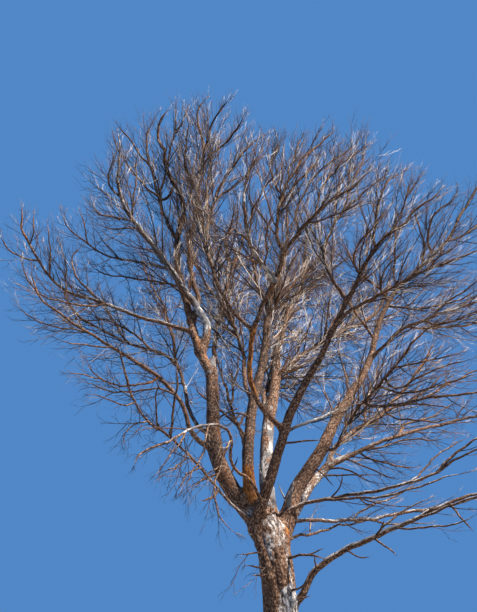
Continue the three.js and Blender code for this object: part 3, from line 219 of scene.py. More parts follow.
    ["right_lower_fan", "right_middle_arm", 0.88, 1780, 18, 10, [[23, 39.5], [15, 25.5], [2, 29.5]]],
    ["back_right_upper_fan", "back_right_up", 1.0, 2410, 38, 16, [[23.5, 46.5], [22, 55.5], [14, 57]]],
    ["back_right_upper_fan", "back_right_up", 0.72, 2500, 29, 14, [[9, 22.5], [18, 37], [28.5, 49]]],
    ["back_right_upper_fan", "back_right_up", 0.5, 3840, 30, 15, [[80, 48.5], [59.5, 49.5], [54, 62.5]]],
    ["back_right_upper_fan", "back_right_up", 0.3, 4350, 29, 15, [[81, 44.5], [76.5, 49], [59.5, 54]]],
    ["back_right_fan", "back_right_out", 1.0, 2070, 30, 13, [[13.5, 20], [9.5, 18.5], [3, 40]]],
    ["back_right_fan", "back_right_out", 0.31, 1930, 22, 11, [[28.5, -2.5], [10.5, 28.5], [-4, -7.5], [-8.5, 25]]],
    ["back_right_fan", "back_right_out", 0.59, 2690, 25, 12, [[56.5, 53.5], [38, 24], [22.5, 26.5], [11.5, 46.5]]],
    ["back_right_fan", "back_right_out", 0.22, 1500, 22, 11, [[24, -26], [26, -4], [14.5, -6], [16, 7]]],
    ["back_right_fan", "back_right_out", 0.11, 1380, 21, 10, [[-47.5, -38], [42, 0.5], [-39.5, -36], [2, -3]]],
    ["right_low_fan", "right_low_arm", 1.0, 1660, 25, 10, [[-24, 40.5], [-12, 31.5], [-5, 32]]],
    ["right_low_fan", "right_low_arm", 1.0, 1490, 20, 9, [[-10.5, 32.5], [-18.5, 18], [-4, 21]]],
    ["right_low_fan", "right_low_arm", 0.24, 3130, 25, 9, [[-27.5, -3.5], [-31.5, -5.5], [-18.5, 11], [-14, 15]]],
    ["right_low_fan", "right_low_arm", 0.84, 1840, 18, 10, [[22.5, 42.5], [22.5, 36.5], [22, 32.5]]],
    ["right_back_low_fan", "right_back_low_arm", 1.0, 2610, 29, 13, [[21, 15.5], [14, 11], [6, 25.5]]],
    ["right_back_low_fan", "right_back_low_arm", 0.59, 3760, 22, 12, [[58.5, 29], [46.5, 23.5], [35.5, 32]]],
    ["right_back_low_fan", "right_back_low_arm", 0.76, 1690, 21, 11, [[39, -8.5], [28, 13], [4.5, 2]]],
    ["right_back_low_fan", "trunk", 0.93, 3940, 23, 12, [[43.5, 22.5], [55.5, 18.5], [39, 19.5]]],
    ["right_lowest_fan", "right_lowest_arm", 1.0, 1590, 30, 10, [[-7.5, 21.5], [-7.5, 15], [-10, 36.5]]],
    ["right_lowest_fan", "right_lowest_arm", 0.93, 1600, 22, 9, [[-34.5, 3], [-37.5, 13.5], [-26, -4.5]]],
    ["right_lowest_fan", "right_lowest_arm", 0.79, 1520, 18, 8, [[-45, -16.5], [-44.5, -4], [-45, 8]]],
    ["right_lowest_fan", "right_lowest_arm", 0.67, 1290, 18, 10, [[-2.5, 49], [5, 28.5], [13.5, 33.5]]],
]
# small dead sticks and side limbs, too slight for a solid
STICKS = [
    ["k_lit", "front_limb", 0.66, 1390, 31, 23, [[-7, 18], [23, 28.5], [31, 41.5]]],
    ["k_lit2", "k_lit", 0.81, 650, 19, 12, [[30, 57.5], [22, 26]]],
    ["k_thin", "front_limb", 0.6, 760, 20, 11, [[-20.5, -3.5], [1.5, 6]]],
    ["r5", "trunk", 0.89, 1030, 23, 11, [[-39, -7.5], [-48.5, -1.5], [-5.5, -31.5]]],
    ["r5b", "r5", 0.71, 270, 14, 8, [[-24, 14.5], [-27, 20]]],
    ["tl1", "trunk", 0.85, 680, 17, 10, [[-128.5, -3.5], [-156, -2.5]]],
    ["tl2", "trunk", 0.9, 910, 16, 8, [[-128, -5], [-145, -17]]],
    ["tl3", "trunk", 0.83, 800, 14, 8, [[-121.5, 2], [-136.5, -22.5]]],
    ["tr1", "trunk", 0.78, 850, 19, 10, [[-49, -7.5], [-52, 5.5], [44, 76]]],
    ["tr2", "trunk", 0.76, 570, 17, 10, [[-30.5, -3.5], [-33, 3]]],
    ["l1s", "front_low_left", 0.32, 680, 23, 14, [[-105.5, -49], [-135.5, -17]]],
    ["l1t", "front_low_left", 0.45, 1730, 16, 8, [[-106.5, -21.5], [-100, -28], [-103, -58.5]]],
    ["l1u", "front_low_left", 0.54, 1650, 16, 8, [[-100, -31], [-97, -32.5], [-118.5, -31]]],
    ["eb", "right_limb", 0.2, 630, 46, 29, [[-104.5, 29], [-46.5, 55.5]]],
    ["eb2", "right_limb", 0.23, 660, 18, 11, [[-114.5, 4], [-116, 43]]],
    ["r4a", "right_lowest_arm", 0.67, 380, 17, 10, [[-61.5, 28.5], [-75.5, 33]]],
    ["r4b", "right_lowest_arm", 0.66, 630, 17, 10, [[-53, -40], [-62.5, -39]]],
    ["r4c", "right_lowest_fan_1", 0.23, 660, 18, 10, [[-52, -63.5], [-43.5, -53]]],
    ["r4d", "right_lowest_arm", 0.3, 350, 15, 9, [[-104, 25], [-98.5, 27.5]]],
    ["r4e", "right_lowest_arm", 0.49, 660, 15, 8, [[-57.5, -34.5], [-52, -7]]],
    ["r1a", "right_low_arm", 0.38, 540, 15, 9, [[-37, 33], [-81.5, 51.5]]],
    ["r1c", "right_low_arm", 0.53, 590, 14, 9, [[-45.5, -52.5], [-40, -21]]],
    ["al1", "left_limb", 0.42, 720, 17, 9, [[-136.5, -48.5], [-142, -17]]],
    ["al2", "left_limb", 0.34, 550, 17, 10, [[-28.5, 61], [20.5, 75.5]]],
    ["ai1", "left_limb", 0.7, 620, 20, 12, [[-6, 27.5], [0, 27.5]]],
    ["bi1", "front_limb", 0.36, 520, 14, 9, [[-122, 23], [-103.5, 32.5]]],
    ["ci1", "centre_limb", 0.31, 660, 23, 12, [[-149.5, 51], [-175.5, 54]]],
    ["ci2", "centre_limb", 0.39, 910, 20, 9, [[-122.5, 10.5], [-130, -21.5], [-156.5, -41]]],
    ["ci3", "centre_limb", 0.49, 920, 22, 11, [[-154.5, 6], [171.5, 42], [154, 46]]],
    ["ci4", "centre_limb", 0.57, 910, 23, 12, [[-12, 32.5], [-22.5, 66], [-22, 42]]],
    ["di1", "bleached_stem", 0.8, 1650, 26, 14, [[53.5, 39.5], [55, 49.5], [61, 70]]],
    ["di2", "bleached_stem", 0.91, 780, 22, 12, [[0, -40], [4, 18.5], [-9.5, 54]]],
    ["ei1", "right_limb", 0.51, 650, 17, 9, [[-29, -37], [-37, -58.5]]],
    ["ei2", "right_limb", 0.84, 780, 20, 10, [[-176, 76.5], [-138.5, 67.5]]],
    ["ei3", "right_limb_top", 0.05, 1150, 23, 11, [[114, 55.5], [94, 68.5], [-119.5, 61.5]]],
    ["fi1", "back_right_limb", 0.82, 1050, 20, 10, [[-6.5, -9.5], [1.5, 3], [13, 7.5]]],
    ["fi2", "back_right_limb", 0.9, 1150, 21, 10, [[-13.5, 8], [6.5, -27.5], [18.5, -11.5]]],
]
# the share of each limb at which its twigs begin
TWIGGY_FROM = {
    "left_limb_top": 0.30, "left_middle_stem": 0.30, "left_pale_stem": 0.30, "left_reach": 0.14, "left_low_limb": 0.28,
    "left_back_limb": 0.22, "front_low_left": 0.45, "front_curved": 0.5, "front_inner": 0.35, "front_lit": 0.6,
    "front_centre_left": 0.1, "front_centre_right": 0.1, "front_inner_left_arm": 0.15, "front_limb_top": 0.5,
    "front_right_arm": 0.2, "centre_limb": 0.58, "centre_left_arm": 0.32, "back_centre": 0.12, "back_right_arm": 0.1,
    "back_left": 0.36, "back_low": 0.72, "right_limb_top": 0.32, "right_arm": 0.15, "right_slender": 0.2,
    "right_middle_arm": 0.1, "back_right_up": 0.08, "back_right_out": 0.06, "right_low_arm": 0.45,
    "right_back_low_arm": 0.4, "right_lowest_arm": 0.55,
}
# how twigs grow in each mass, against the usual: pull upwards, length, spacing and how wide they stand off
HABIT = {
    "left_top": (1.0, 0.9, 1.28, 1.0), "left_middle_top": (0.9, 1.0, 0.75, 1.2), "left_pale_top": (0.7, 0.80, 0.85, 1.35),
    "left_arc": (0.8, 0.52, 1.15, 1.5), "left_tip": (0.6, 0.58, 1.05, 1.5), "left_low": (0.25, 0.60, 1.45, 1.6), "left_back_top": (0.4, 0.75, 0.95, 1.6),
    "front_left_low": (-0.1, 0.62, 1.9, 1.5), "front_hanging": (-0.9, 0.65, 2.3, 1.4), "front_upper_left": (0.8, 1.0, 0.78, 1.2),
    "front_lit_top": (0.7, 0.9, 1.0, 1.0), "front_centre_top": (0.9, 1.0, 0.85, 1.0), "front_right_top": (0.8, 1.0, 0.95, 1.0),
    "front_inner_top": (0.4, 1.0, 0.70, 1.5), "front_limb_crown": (0.7, 1.0, 0.85, 1.1), "front_right_fan": (0.3, 0.9, 1.0, 1.2),
    "centre_top": (0.9, 1.1, 0.62, 1.2), "centre_left_top": (0.5, 1.1, 0.52, 1.5), "back_centre_top": (0.4, 1.1, 0.60, 1.7),
    "back_right_top": (0.4, 1.1, 0.62, 1.6), "back_left_top": (0.7, 1.1, 0.75, 1.3), "back_low_top": (0.3, 1.1, 0.95, 1.5),
    "right_top": (0.7, 0.95, 1.15, 1.1), "right_fan": (0.25, 0.9, 1.0, 1.2), "right_middle_fan": (0.25, 0.70, 1.15, 1.35),
    "right_lower_fan": (0.2, 0.70, 2.2, 1.4), "back_right_upper_fan": (0.6, 1.0, 1.45, 1.3), "back_right_fan": (0.3, 0.8, 1.6, 1.3),
    "right_low_fan": (0.25, 0.6, 5.0, 1.0), "right_back_low_fan": (0.3, 0.55, 6.0, 1.0), "right_lowest_fan": (0.2, 0.5, 6.0, 1.0),
}
MASSES = list(HABIT)
HAZE = ["left_back_top", "front_inner_top", "centre_left_top", "back_centre_top", "back_right_top", "back_left_top", "back_low_top"]   # the inner ones, whose twigs are paler
DENSER = {"ci1": 4.5, "ci2": 4.0, "back_low": 3.2, "back_centre": 0.85, "right_slender": 0.4, "back_right_arm": 0.8, "centre_top_3": 0.85, "right_middle_fan_2": 0.7, "back_right_up": 0.62, "back_right_top_1": 1.0, "front_right_arm": 0.95, "right_fan_4": 0.8, "left_low_5": 1.3, "left_low_4": 1.25, "back_right_fan_3": 1.3, "back_low_top_1": 1.4, "back_low_top_2": 1.6, "back_low_top_3": 1.6, "back_low_top_4": 1.5, "back_left": 1.5, "centre_left_arm": 1.3,
          "centre_left_top_3": 1.1, "left_back_limb": 1.5, "left_back_top_2": 1.25, "right_limb_top": 1.2, "left_arc_1": 0.9,
          "left_limb_top": 0.62, "left_middle_stem": 0.65, "front_left_low_1": 1.2, "back_left_top_2": 0.9, "back_left_top_1": 1.25, "back_left_top_3": 1.3, "centre_left_top_1": 1.35, "centre_left_top_2": 1.4, "centre_top_2": 1.25, "front_inner_top_4": 1.6, "front_inner_top_2": 1.55, "front_lit": 1.8, "front_lit_top_5": 1.5, "right_middle_fan_3": 1.35,
          "left_pale_stem": 0.6, "left_top_2": 1.15, "left_top_6": 1.6, "left_pale_top_4": 1.6, "left_pale_top_2": 1.3, "left_back_top_5": 0.7, "left_reach": 0.68, "left_low_limb": 0.85, "back_right_upper_fan_2": 2.2, "back_right_upper_fan_1": 0.75, "back_right_upper_fan_3": 0.6, "back_centre_top_3": 1.5, "back_right_top_4": 0.9, "back_centre_top_2": 0.85, "right_top_6": 0.7, "right_top_7": 0.75, "right_lower_fan_3": 1.3, "right_middle_fan_4": 1.4, "left_back_top_4": 1.0, "left_back_top_3": 0.75}
# masses of hanging or low twigs, with hardly a pale one
DARK_TIPS = HAZE + ["centre_top", "right_top", "front_right_top", "back_right_upper_fan", "front_centre_top", "right_fan"]   # dark against the sky high up
GREYER = ["front_hanging", "front_left_low", "right_low_fan", "right_back_low_fan", "right_lowest_fan", "right_lower_fan", "back_right_fan"]
SLENDER = ["front_lit", "front_centre_left", "front_centre_right", "front_inner_left_arm", "front_right_arm", "right_arm", "right_slender", "right_middle_arm"]
SIDE_GAP = 0.122         # between side branches along a branch
SIDE_LONG = 1.25         # a usual side branch
SHOOT_GAP = 0.091        # between shoots along a side branch
SHOOT_LONG = 0.36        # a usual shoot
TWIG_GAP = 0.089         # between twigs along a shoot
TWIG_LONG = 0.15
SIDE_RADIUS, SHOOT_RADIUS, TWIG_RADIUS = 0.0120, 0.0042, 0.0029

# how each limb looks along its way: at each station, the shares of flaked orange bark, of grey weathered bark and of bare wood
LOOKS = {
    "left_limb": [(0, 0.15, 0.65, 0.10), (0.14, 0.20, 0.60, 0.05), (0.35, 0.45, 0.25, 0.05), (1, 0.50, 0.15, 0.08)],
    "left_limb_top": [(0, 0.45, 0.10, 0.20), (0.25, 0.45, 0.10, 0.0), (1, 0.25, 0.15, 0.0)],
    "left_pale_stem": [(0, 0.20, 0.30, 0.20), (0.10, 0.10, 0.30, 0.60), (0.14, 0.05, 0.20, 1.0), (0.25, 0.05, 0.20, 0.98), (0.30, 0.25, 0.60, 0.45), (0.45, 0.20, 0.60, 0.66), (0.75, 0.15, 0.60, 0.72), (1, 0.20, 0.50, 0.50)],
    "left_middle_stem": [(0, 0.45, 0.10, 0.10), (0.10, 0.30, 0.20, 0.50), (0.25, 0.45, 0.10, 0.05), (1, 0.30, 0.10, 0.0)],
    "left_reach": [(0, 0.60, 0.10, 0.10), (0.25, 0.30, 0.40, 0.45), (0.70, 0.25, 0.40, 0.60), (1, 0.30, 0.30, 0.20)],
    "left_low_limb": [(0, 0.25, 0.30, 0.25), (0.30, 0.25, 0.30, 0.20), (1, 0.20, 0.30, 0.15)],
    "left_back_limb": [(0, 0.20, 0.40, 0.35), (0.30, 0.20, 0.40, 0.35), (0.50, 0.20, 0.20, 0.05), (1, 0.20, 0.20, 0.0)],
    "front_low_left": [(0, 0.10, 0.60, 0.60), (0.35, 0.10, 0.60, 0.50), (0.50, 0.10, 0.40, 0.10), (1, 0.10, 0.40, 0.05)],
    "front_curved": [(0, 0.30, 0.30, 0.10), (0.20, 0.40, 0.20, 0.10), (0.28, 0.70, 0.0, 0.0), (0.50, 0.60, 0.0, 0.0), (0.62, 0.30, 0.30, 0.40), (0.80, 0.10, 0.50, 0.50), (1, 0.10, 0.50, 0.30)],
    "front_limb": [(0, 0.25, 0.20, 0.0), (1, 0.35, 0.15, 0.0)],
    "front_limb_top": [(0, 0.35, 0.15, 0.0), (1, 0.30, 0.20, 0.0)],
    "front_right_arm": [(0, 0.30, 0.20, 0.0), (0.62, 0.25, 0.30, 0.05), (0.72, 0.10, 0.40, 0.90), (0.92, 0.10, 0.40, 0.85), (1, 0.20, 0.40, 0.30)],
    "front_inner_left_arm": [(0, 0.45, 0.15, 0.0), (1, 0.30, 0.20, 0.0)],
    "front_centre": [(0, 0.20, 0.20, 0.0), (0.16, 0.30, 0.10, 0.0), (0.28, 0.92, 0.0, 0.0), (0.50, 0.92, 0.0, 0.0), (0.65, 0.45, 0.10, 0.0), (1, 0.35, 0.20, 0.05)],
    "front_centre_left": [(0, 0.45, 0.15, 0.0), (1, 0.30, 0.20, 0.0)],
    "front_centre_right": [(0, 0.30, 0.25, 0.35), (0.4, 0.35, 0.25, 0.10), (1, 0.30, 0.25, 0.05)],
    "front_inner": [(0, 0.50, 0.20, 0.20), (0.3, 0.45, 0.15, 0.0), (1, 0.30, 0.15, 0.0)],
    "front_lit": [(0, 0.0, 0.30, 1.2), (0.7, 0.05, 0.30, 1.1), (1, 0.20, 0.30, 0.40)],
    # centre_limb's middle stretch has no grey or bare wood: painted shade, as it lies in its neighbours' shadow
    "centre_limb": [(0, 0.15, 0.70, 0.35), (0.08, 0.30, 0.50, 0.20), (0.12, 0.90, 0.05, 0.0), (0.20, 1.0, 0.0, 0.0), (0.25, 0.25, 0.0, 0.0), (0.60, 0.20, 0.0, 0.0), (1, 0.25, 0.20, 0.0)],
    "centre_left_arm": [(0, 0.35, 0.15, 0.0), (0.4, 0.30, 0.25, 0.45), (0.6, 0.40, 0.15, 0.0), (1, 0.40, 0.15, 0.0)],
    # bleached_stem's bare share is held down with more grey: partly its own grey wood, partly painted shade for the
    # shadows its neighbours throw on it
    "bleached_stem": [(0, 0.10, 0.50, 0.45), (0.15, 0.05, 0.40, 0.62), (0.30, 0.05, 0.35, 0.68), (0.42, 0.05, 0.35, 0.58), (0.62, 0.25, 0.45, 0.36), (1, 0.30, 0.40, 0.25)],
    "back_right_arm": [(0, 0.30, 0.35, 0.45), (1, 0.30, 0.30, 0.20)],
    "back_centre": [(0, 0.15, 0.30, 0.50), (0.4, 0.30, 0.30, 0.15), (1, 0.30, 0.25, 0.05)],
    "back_left": [(0, 0.35, 0.20, 0.0), (1, 0.30, 0.20, 0.0)],
    "back_low": [(0, 0.30, 0.25, 0.0), (1, 0.30, 0.20, 0.0)],
    "right_limb": [(0, 0.20, 0.30, 0.0), (0.25, 0.30, 0.20, 0.0), (1, 0.20, 0.35, 0.05)],
    "right_limb_top": [(0, 0.20, 0.35, 0.05), (0.12, 0.25, 0.35, 0.20), (0.60, 0.20, 0.30, 0.05), (0.70, 0.20, 0.30, 0.90), (0.82, 0.20, 0.30, 0.80), (0.90, 0.30, 0.20, 0.10), (1, 0.30, 0.20, 0.0)],
    "back_right_limb": [(0, 0.20, 0.62, 0.05), (1, 0.20, 0.70, 0.25)],
    "back_right_up": [(0, 0.15, 0.40, 0.60), (0.5, 0.20, 0.35, 0.40), (1, 0.20, 0.30, 0.15)],
    "back_right_out": [(0, 0.20, 0.40, 0.30), (1, 0.20, 0.30, 0.10)],
    "right_slender": [(0, 0.15, 0.35, 0.0), (1, 0.15, 0.30, 0.0)],
    "right_arm": [(0, 0.30, 0.25, 0.20), (0.4, 0.30, 0.25, 0.25), (1, 0.25, 0.25, 0.10)],
    "right_middle_arm": [(0, 0.20, 0.30, 0.0), (1, 0.20, 0.30, 0.15)],
    "right_low_arm": [(0, 0.12, 0.30, 0.0), (0.12, 0.08, 0.45, 0.25), (1, 0.12, 0.40, 0.30)],
    "right_back_low_arm": [(0, 0.05, 0.45, 0.38), (1, 0.05, 0.40, 0.30)],
    "right_lowest_arm": [(0, 0.12, 0.40, 0.0), (0.25, 0.10, 0.40, 0.25), (1, 0.10, 0.40, 0.45)],
}
# the broken-off top of the left limb: its length, foot and end radius and its heading
SLIM = {"front_lit": 1.45, "left_pale_stem": 1.08, "left_reach": 0.82, "left_low_limb": 0.88, "left_back_limb": 0.80, "front_curved": 0.72, "front_low_left": 0.62, "right_limb_top": 0.88, "left_middle_stem": 0.88,
        "bleached_stem": 1.28, "centre_limb": 1.15, "left_limb": 0.95, "back_low": 0.8, "right_low_arm": 0.85}
STUB = [480, 76, 60, [[80, 84], [60, 80]]]
# how much more of the wood is bare on a limb's upper side than at its middle, and less below: partly wear, partly
# painted light on the top and painted shade underneath
# limbs darkened with painted shade, as they lie in their neighbours' shadow: their relief is scaled down, so the dark
# furrow colour spreads over them
LIMB_PAINTED_SHADE = {"centre_limb": 0.50, "front_centre": 0.70, "left_limb": 0.88, "bleached_stem": 0.75}
WORN_AND_PAINTED_TOP_LIGHT = {"front_right_arm": 0.20, "left_pale_stem": 0.20, "right_low_arm": 0.55, "right_back_low_arm": 0.55, "right_lowest_arm": 0.60, "left_reach": 0.45, "left_low_limb": 0.30, "left_back_limb": 0.25,
            "front_low_left": 0.40, "front_curved": 0.20, "back_right_out": 0.30, "right_middle_arm": 0.30, "front_lit": 0.5}
PALE_LIMBS = ("left_pale_stem", "front_lit", "bleached_stem", "back_right_arm", "back_right_limb")


# ---------------------------------------------------------------- numbers
def noise(p, seed=0):
    """Smooth value noise from 0 to 1 at points p (n, 3)."""
    i = np.floor(p).astype(np.int64)
    f = p - i
    f = f * f * (3 - 2 * f)

    def corner(dx, dy, dz):
        h = (i[:, 0] + dx) * 374761393 + (i[:, 1] + dy) * 668265263 + (i[:, 2] + dz) * 1440662683 + seed * 974634777
        h = h & 0xFFFFFFFF
        h = ((h ^ (h >> 13)) * 1274126177) & 0xFFFFFFFF
        return ((h ^ (h >> 16)) & 0xFFFFFFFF) / 4294967295.0

    out = 0
    for dx in (0, 1):
        for dy in (0, 1):
            for dz in (0, 1):
                w = (f[:, 0] if dx else 1 - f[:, 0]) * (f[:, 1] if dy else 1 - f[:, 1]) * (f[:, 2] if dz else 1 - f[:, 2])
                out = out + w * corner(dx, dy, dz)
    return out


def unit(v):
    return v / np.maximum(np.linalg.norm(v, axis=-1, keepdims=True), 1e-12)


def heading(bearing, rise):
    b, r = math.radians(bearing), math.radians(rise)
    return np.array([math.cos(r) * math.cos(b), math.cos(r) * math.sin(b), math.sin(r)])


def course(start, length, headings, n=48):
    ways = np.array([heading(*h) for h in headings])
    s = (np.arange(n) + 0.5) / n * (len(ways) - 1)
    k = np.clip(s.astype(int), 0, len(ways) - 2)
    f = (s - k)[:, None]
    step = unit(ways[k] * (1 - f) + ways[k + 1] * f)
    return np.vstack([start, start + np.cumsum(step, 0) * length / n])


def along(points, s):
    """Points at shares s of a line whose points are evenly spaced."""
    x = np.clip(np.asarray(s, float), 0, 1) * (len(points) - 1)
    i = np.minimum(x.astype(int), len(points) - 2)
    f = (x - i)[..., None]
    return points[i] * (1 - f) + points[i + 1] * f


def kinked(points, length, radius, rng):
    """The course with the small crooks of a real limb, none at its foot."""
    n = max(24, int(length / 0.05))
    s = np.linspace(0, 1, n + 1)
    p = along(points, s)
    size = min(1.0, 0.030 / (0.018 + radius)) * min(1.0, 0.5 + length / 4)
    off = np.zeros_like(p)
    for wave, amount in ((1.5, 0.026), (0.75, 0.015), (0.36, 0.008), (0.19, 0.004)):
        for axis in range(3):
            off[:, axis] += amount * size * np.sin(2 * math.pi * (s * length / wave + rng.random()) + 0.8 * np.sin(3 * s + axis))
    off -= off[0] * (1 - s)[:, None] ** 4
    return p + off * np.minimum(1, s * length / 0.25)[:, None]


def frames(points):
    """Ways along a line and two sides square to it, carried without twist."""
    way = np.empty_like(points)
    way[1:-1] = points[2:] - points[:-2]
    way[0], way[-1] = points[1] - points[0], points[-1] - points[-2]
    way = unit(way)
    side = np.empty_like(points)
    v = np.array([0.0, 0.0, 1.0]) if abs(way[0][2]) < 0.9 else np.array([1.0, 0.0, 0.0])
    for i in range(len(points)):
        v = v - way[i] * (v @ way[i])
        v = v / np.linalg.norm(v)
        side[i] = v
    return way, side, np.cross(way, side)


# ---------------------------------------------------------------- mesh helpers
def add_mesh(name, verts, faces, materials, attributes=(), face_materials=None, smooth=True):
    """verts (n, 3); faces (m, 3) or (m, 4)."""
    me = bpy.data.meshes.new(name)
    me.vertices.add(len(verts))
    me.vertices.foreach_set("co", np.ascontiguousarray(verts, dtype=np.float32).ravel())
    groups = faces if isinstance(faces, list) else [faces]
    loops = np.concatenate([g.ravel() for g in groups]).astype(np.int32)
    counts = np.concatenate([np.full(len(g), g.shape[1]) for g in groups])
    me.loops.add(len(loops))
    me.loops.foreach_set("vertex_index", loops)
    me.polygons.add(len(counts))
    starts = np.concatenate([[0], np.cumsum(counts)[:-1]]).astype(np.int32)
    me.polygons.foreach_set("loop_start", starts)
    me.polygons.foreach_set("use_smooth", np.full(len(counts), smooth))
    for m in materials:
        me.materials.append(m)
    if face_materials is not None:
        me.polygons.foreach_set("material_index", face_materials.astype(np.int32))
    for key, kind, values in attributes:
        a = me.attributes.new(key, kind, "POINT")
        a.data.foreach_set("vector" if kind == "FLOAT_VECTOR" else "value", np.ascontiguousarray(values, dtype=np.float32).ravel())
    me.update(calc_edges=True)
    me.validate()
    ob = bpy.data.objects.new(name, me)
    bpy.context.scene.collection.objects.link(ob)
    return ob


def tube_faces(rings, sides):
    r, k = np.meshgrid(np.arange(rings - 1), np.arange(sides), indexing="ij")
    a = r * sides + k
    b = r * sides + (k + 1) % sides
    return np.stack([a, b, b + sides, a + sides], -1).reshape(-1, 4)


def bark_height(local, run, radius, seed):
    """Plates between furrows, from 0 to 1, in limb space: local is the point round the limb, run the way along it."""
    p = np.column_stack([local[:, 0], local[:, 1], run])
    p = p + (noise(p * [9, 9, 6], seed + 5) - 0.5)[:, None] * [0.05, 0.05, 0.08]
    scale = 1 / max(0.3, min(1.0, radius / 0.2)) ** 0.5
    a = np.abs(noise(p * [17 * scale, 17 * scale, 9 * scale], seed) - 0.5) * 2
    b = np.abs(noise(p * [38 * scale, 38 * scale, 24 * scale], seed + 1) - 0.5) * 2
    c = noise(p * [90, 90, 50], seed + 2)
    return 0.55 * np.clip(a / 0.26, 0, 1) ** 0.8 + 0.28 * np.clip(b / 0.34, 0, 1) + 0.17 * c


def reach_of(p, chain):
    """Distance from points p (n, 3) to a limb given as close-set balls."""
    centres, radii = chain
    out = np.full(len(p), 1e9)
    for c, r in zip(np.array_split(centres, max(1, len(centres) // 24)), np.array_split(radii, max(1, len(centres) // 24))):
        d = np.linalg.norm(p[:, None] - c[None], axis=2) - r[None]
        out = np.minimum(out, d.min(1))
    return out


def swell(p, normal, near):
    """How far each point of a limb's skin is drawn out so that it runs smoothly into the limbs near it."""
    out = np.zeros(len(p))
    for chain, k in near:
        centres, radii = chain
        lo, hi = (centres - radii[:, None]).min(0) - k, (centres + radii[:, None]).max(0) + k
        here = np.nonzero(((p > lo) & (p < hi)).all(1))[0]
        if not len(here):
            continue
        q, n = p[here], normal[here]
        start = reach_of(q, chain)
        pick = (start < k) & (start > -0.6 * k)
        here, q, n, t = here[pick], q[pick], n[pick], np.zeros(pick.sum())
        for _ in range(6):
            if not len(q):
                break
            other = reach_of(q + n * t[:, None], chain)
            h = np.clip(k - np.abs(t - other), 0, None) / k
            t = np.clip(t - (np.minimum(t, other) - h * h * k / 4), 0, 0.55 * k)
        out[here] = np.hypot(out[here], t)
    return out


def limb_surface(points, radii, sides, depth, seed, lumps=0.06, near=()):
    """A closed bark-covered tube, with its limb-space coordinates and its relief."""
    way, one, two = frames(points)
    run = np.concatenate([[0], np.cumsum(np.linalg.norm(np.diff(points, axis=0), axis=1))])
    n = len(points)
    R = np.repeat(radii, sides)
    T = np.tile(np.arange(sides) * 2 * math.pi / sides, n)
    S = np.repeat(run, sides)
    local = np.column_stack([np.cos(T) * R, np.sin(T) * R])
    lump = noise(np.column_stack([np.cos(T) * 0.9 + seed * 3.1, np.sin(T) * 0.9, S / np.maximum(R * 3.2, 0.06)]), seed + 9) - 0.5
    height = bark_height(local, S + seed * 7.7, float(np.mean(radii)), seed)
    r = R * (1 + 2 * lumps * lump)
    base = np.repeat(points, sides, axis=0)
    normal = np.repeat(one, sides, axis=0) * np.cos(T)[:, None] + np.repeat(two, sides, axis=0) * np.sin(T)[:, None]
    if near:
        r = r + np.minimum(swell(base + normal * r[:, None], normal, near), R * (0.9 if radii[0] > 0.075 else 0.35))
    r = r + (height - 0.6) * np.minimum(depth, R * 0.15)
    verts = np.vstack([base + normal * r[:, None], points[:1], points[-1:]])
    lo, hi = n * sides, n * sides + 1
    k = np.arange(sides)
    caps = np.vstack([np.column_stack([np.full(sides, lo), (k + 1) % sides, k]),
                      np.column_stack([np.full(sides, hi), (n - 1) * sides + k, (n - 1) * sides + (k + 1) % sides])])
    coords = np.vstack([np.column_stack([local, S]), [0, 0, run[0]], [0, 0, run[-1]]])
    height = np.concatenate([height, [0.5, 0.5]])
    return verts, [tube_faces(n, sides), caps], coords, height, np.concatenate([S / run[-1], [0, 1]])


# ---------------------------------------------------------------- materials
def new_material(name):
    m = bpy.data.materials.new(name)
    m.use_nodes = True
    nt = m.node_tree
    for n in list(nt.nodes):
        if n.type not in ("BSDF_PRINCIPLED", "OUTPUT_MATERIAL"):
            nt.nodes.remove(n)
    bsdf = next(n for n in nt.nodes if n.type == "BSDF_PRINCIPLED")
    bsdf.inputs["Metallic"].default_value = 0.0
    bsdf.inputs["Specular IOR Level"].default_value = 0.25
    return m, nt, bsdf


def ramp(nt, source, stops, interpolation="LINEAR"):
    n = nt.nodes.new("ShaderNodeValToRGB")
    n.color_ramp.interpolation = interpolation
    while len(n.color_ramp.elements) < len(stops):
        n.color_ramp.elements.new(0.5)
    for e, (at, c) in zip(n.color_ramp.elements, stops):
        e.position = at
        e.color = (*c, 1) if len(c) == 3 else c
    nt.links.new(source, n.inputs["Fac"])
    return n.outputs["Color"]


def mix(nt, fac, a, b, kind="MIX"):
    n = nt.nodes.new("ShaderNodeMix")
    n.data_type = "RGBA"
    n.blend_type = kind
    for key, v in ((0, fac), (6, a), (7, b)):
        if isinstance(v, (int, float)):
            n.inputs[key].default_value = v
        elif isinstance(v, (tuple, list)):
            n.inputs[key].default_value = (*v, 1)
        else:
            nt.links.new(v, n.inputs[key])
    return n.outputs[2]


def limb_space(nt, scale):
    a = nt.nodes.new("ShaderNodeAttribute")
    a.attribute_name = "limb"
    v = nt.nodes.new("ShaderNodeVectorMath")
    v.operation = "MULTIPLY"
    v.inputs[1].default_value = scale
    nt.links.new(a.outputs["Vector"], v.inputs[0])
    return v.outputs["Vector"]


def noise_node(nt, vector, scale=1.0, detail=4.0, rough=0.55):
    n = nt.nodes.new("ShaderNodeTexNoise")
    n.inputs["Scale"].default_value = scale
    n.inputs["Detail"].default_value = detail
    n.inputs["Roughness"].default_value = rough
    nt.links.new(vector, n.inputs["Vector"])
    return n.outputs["Fac"]


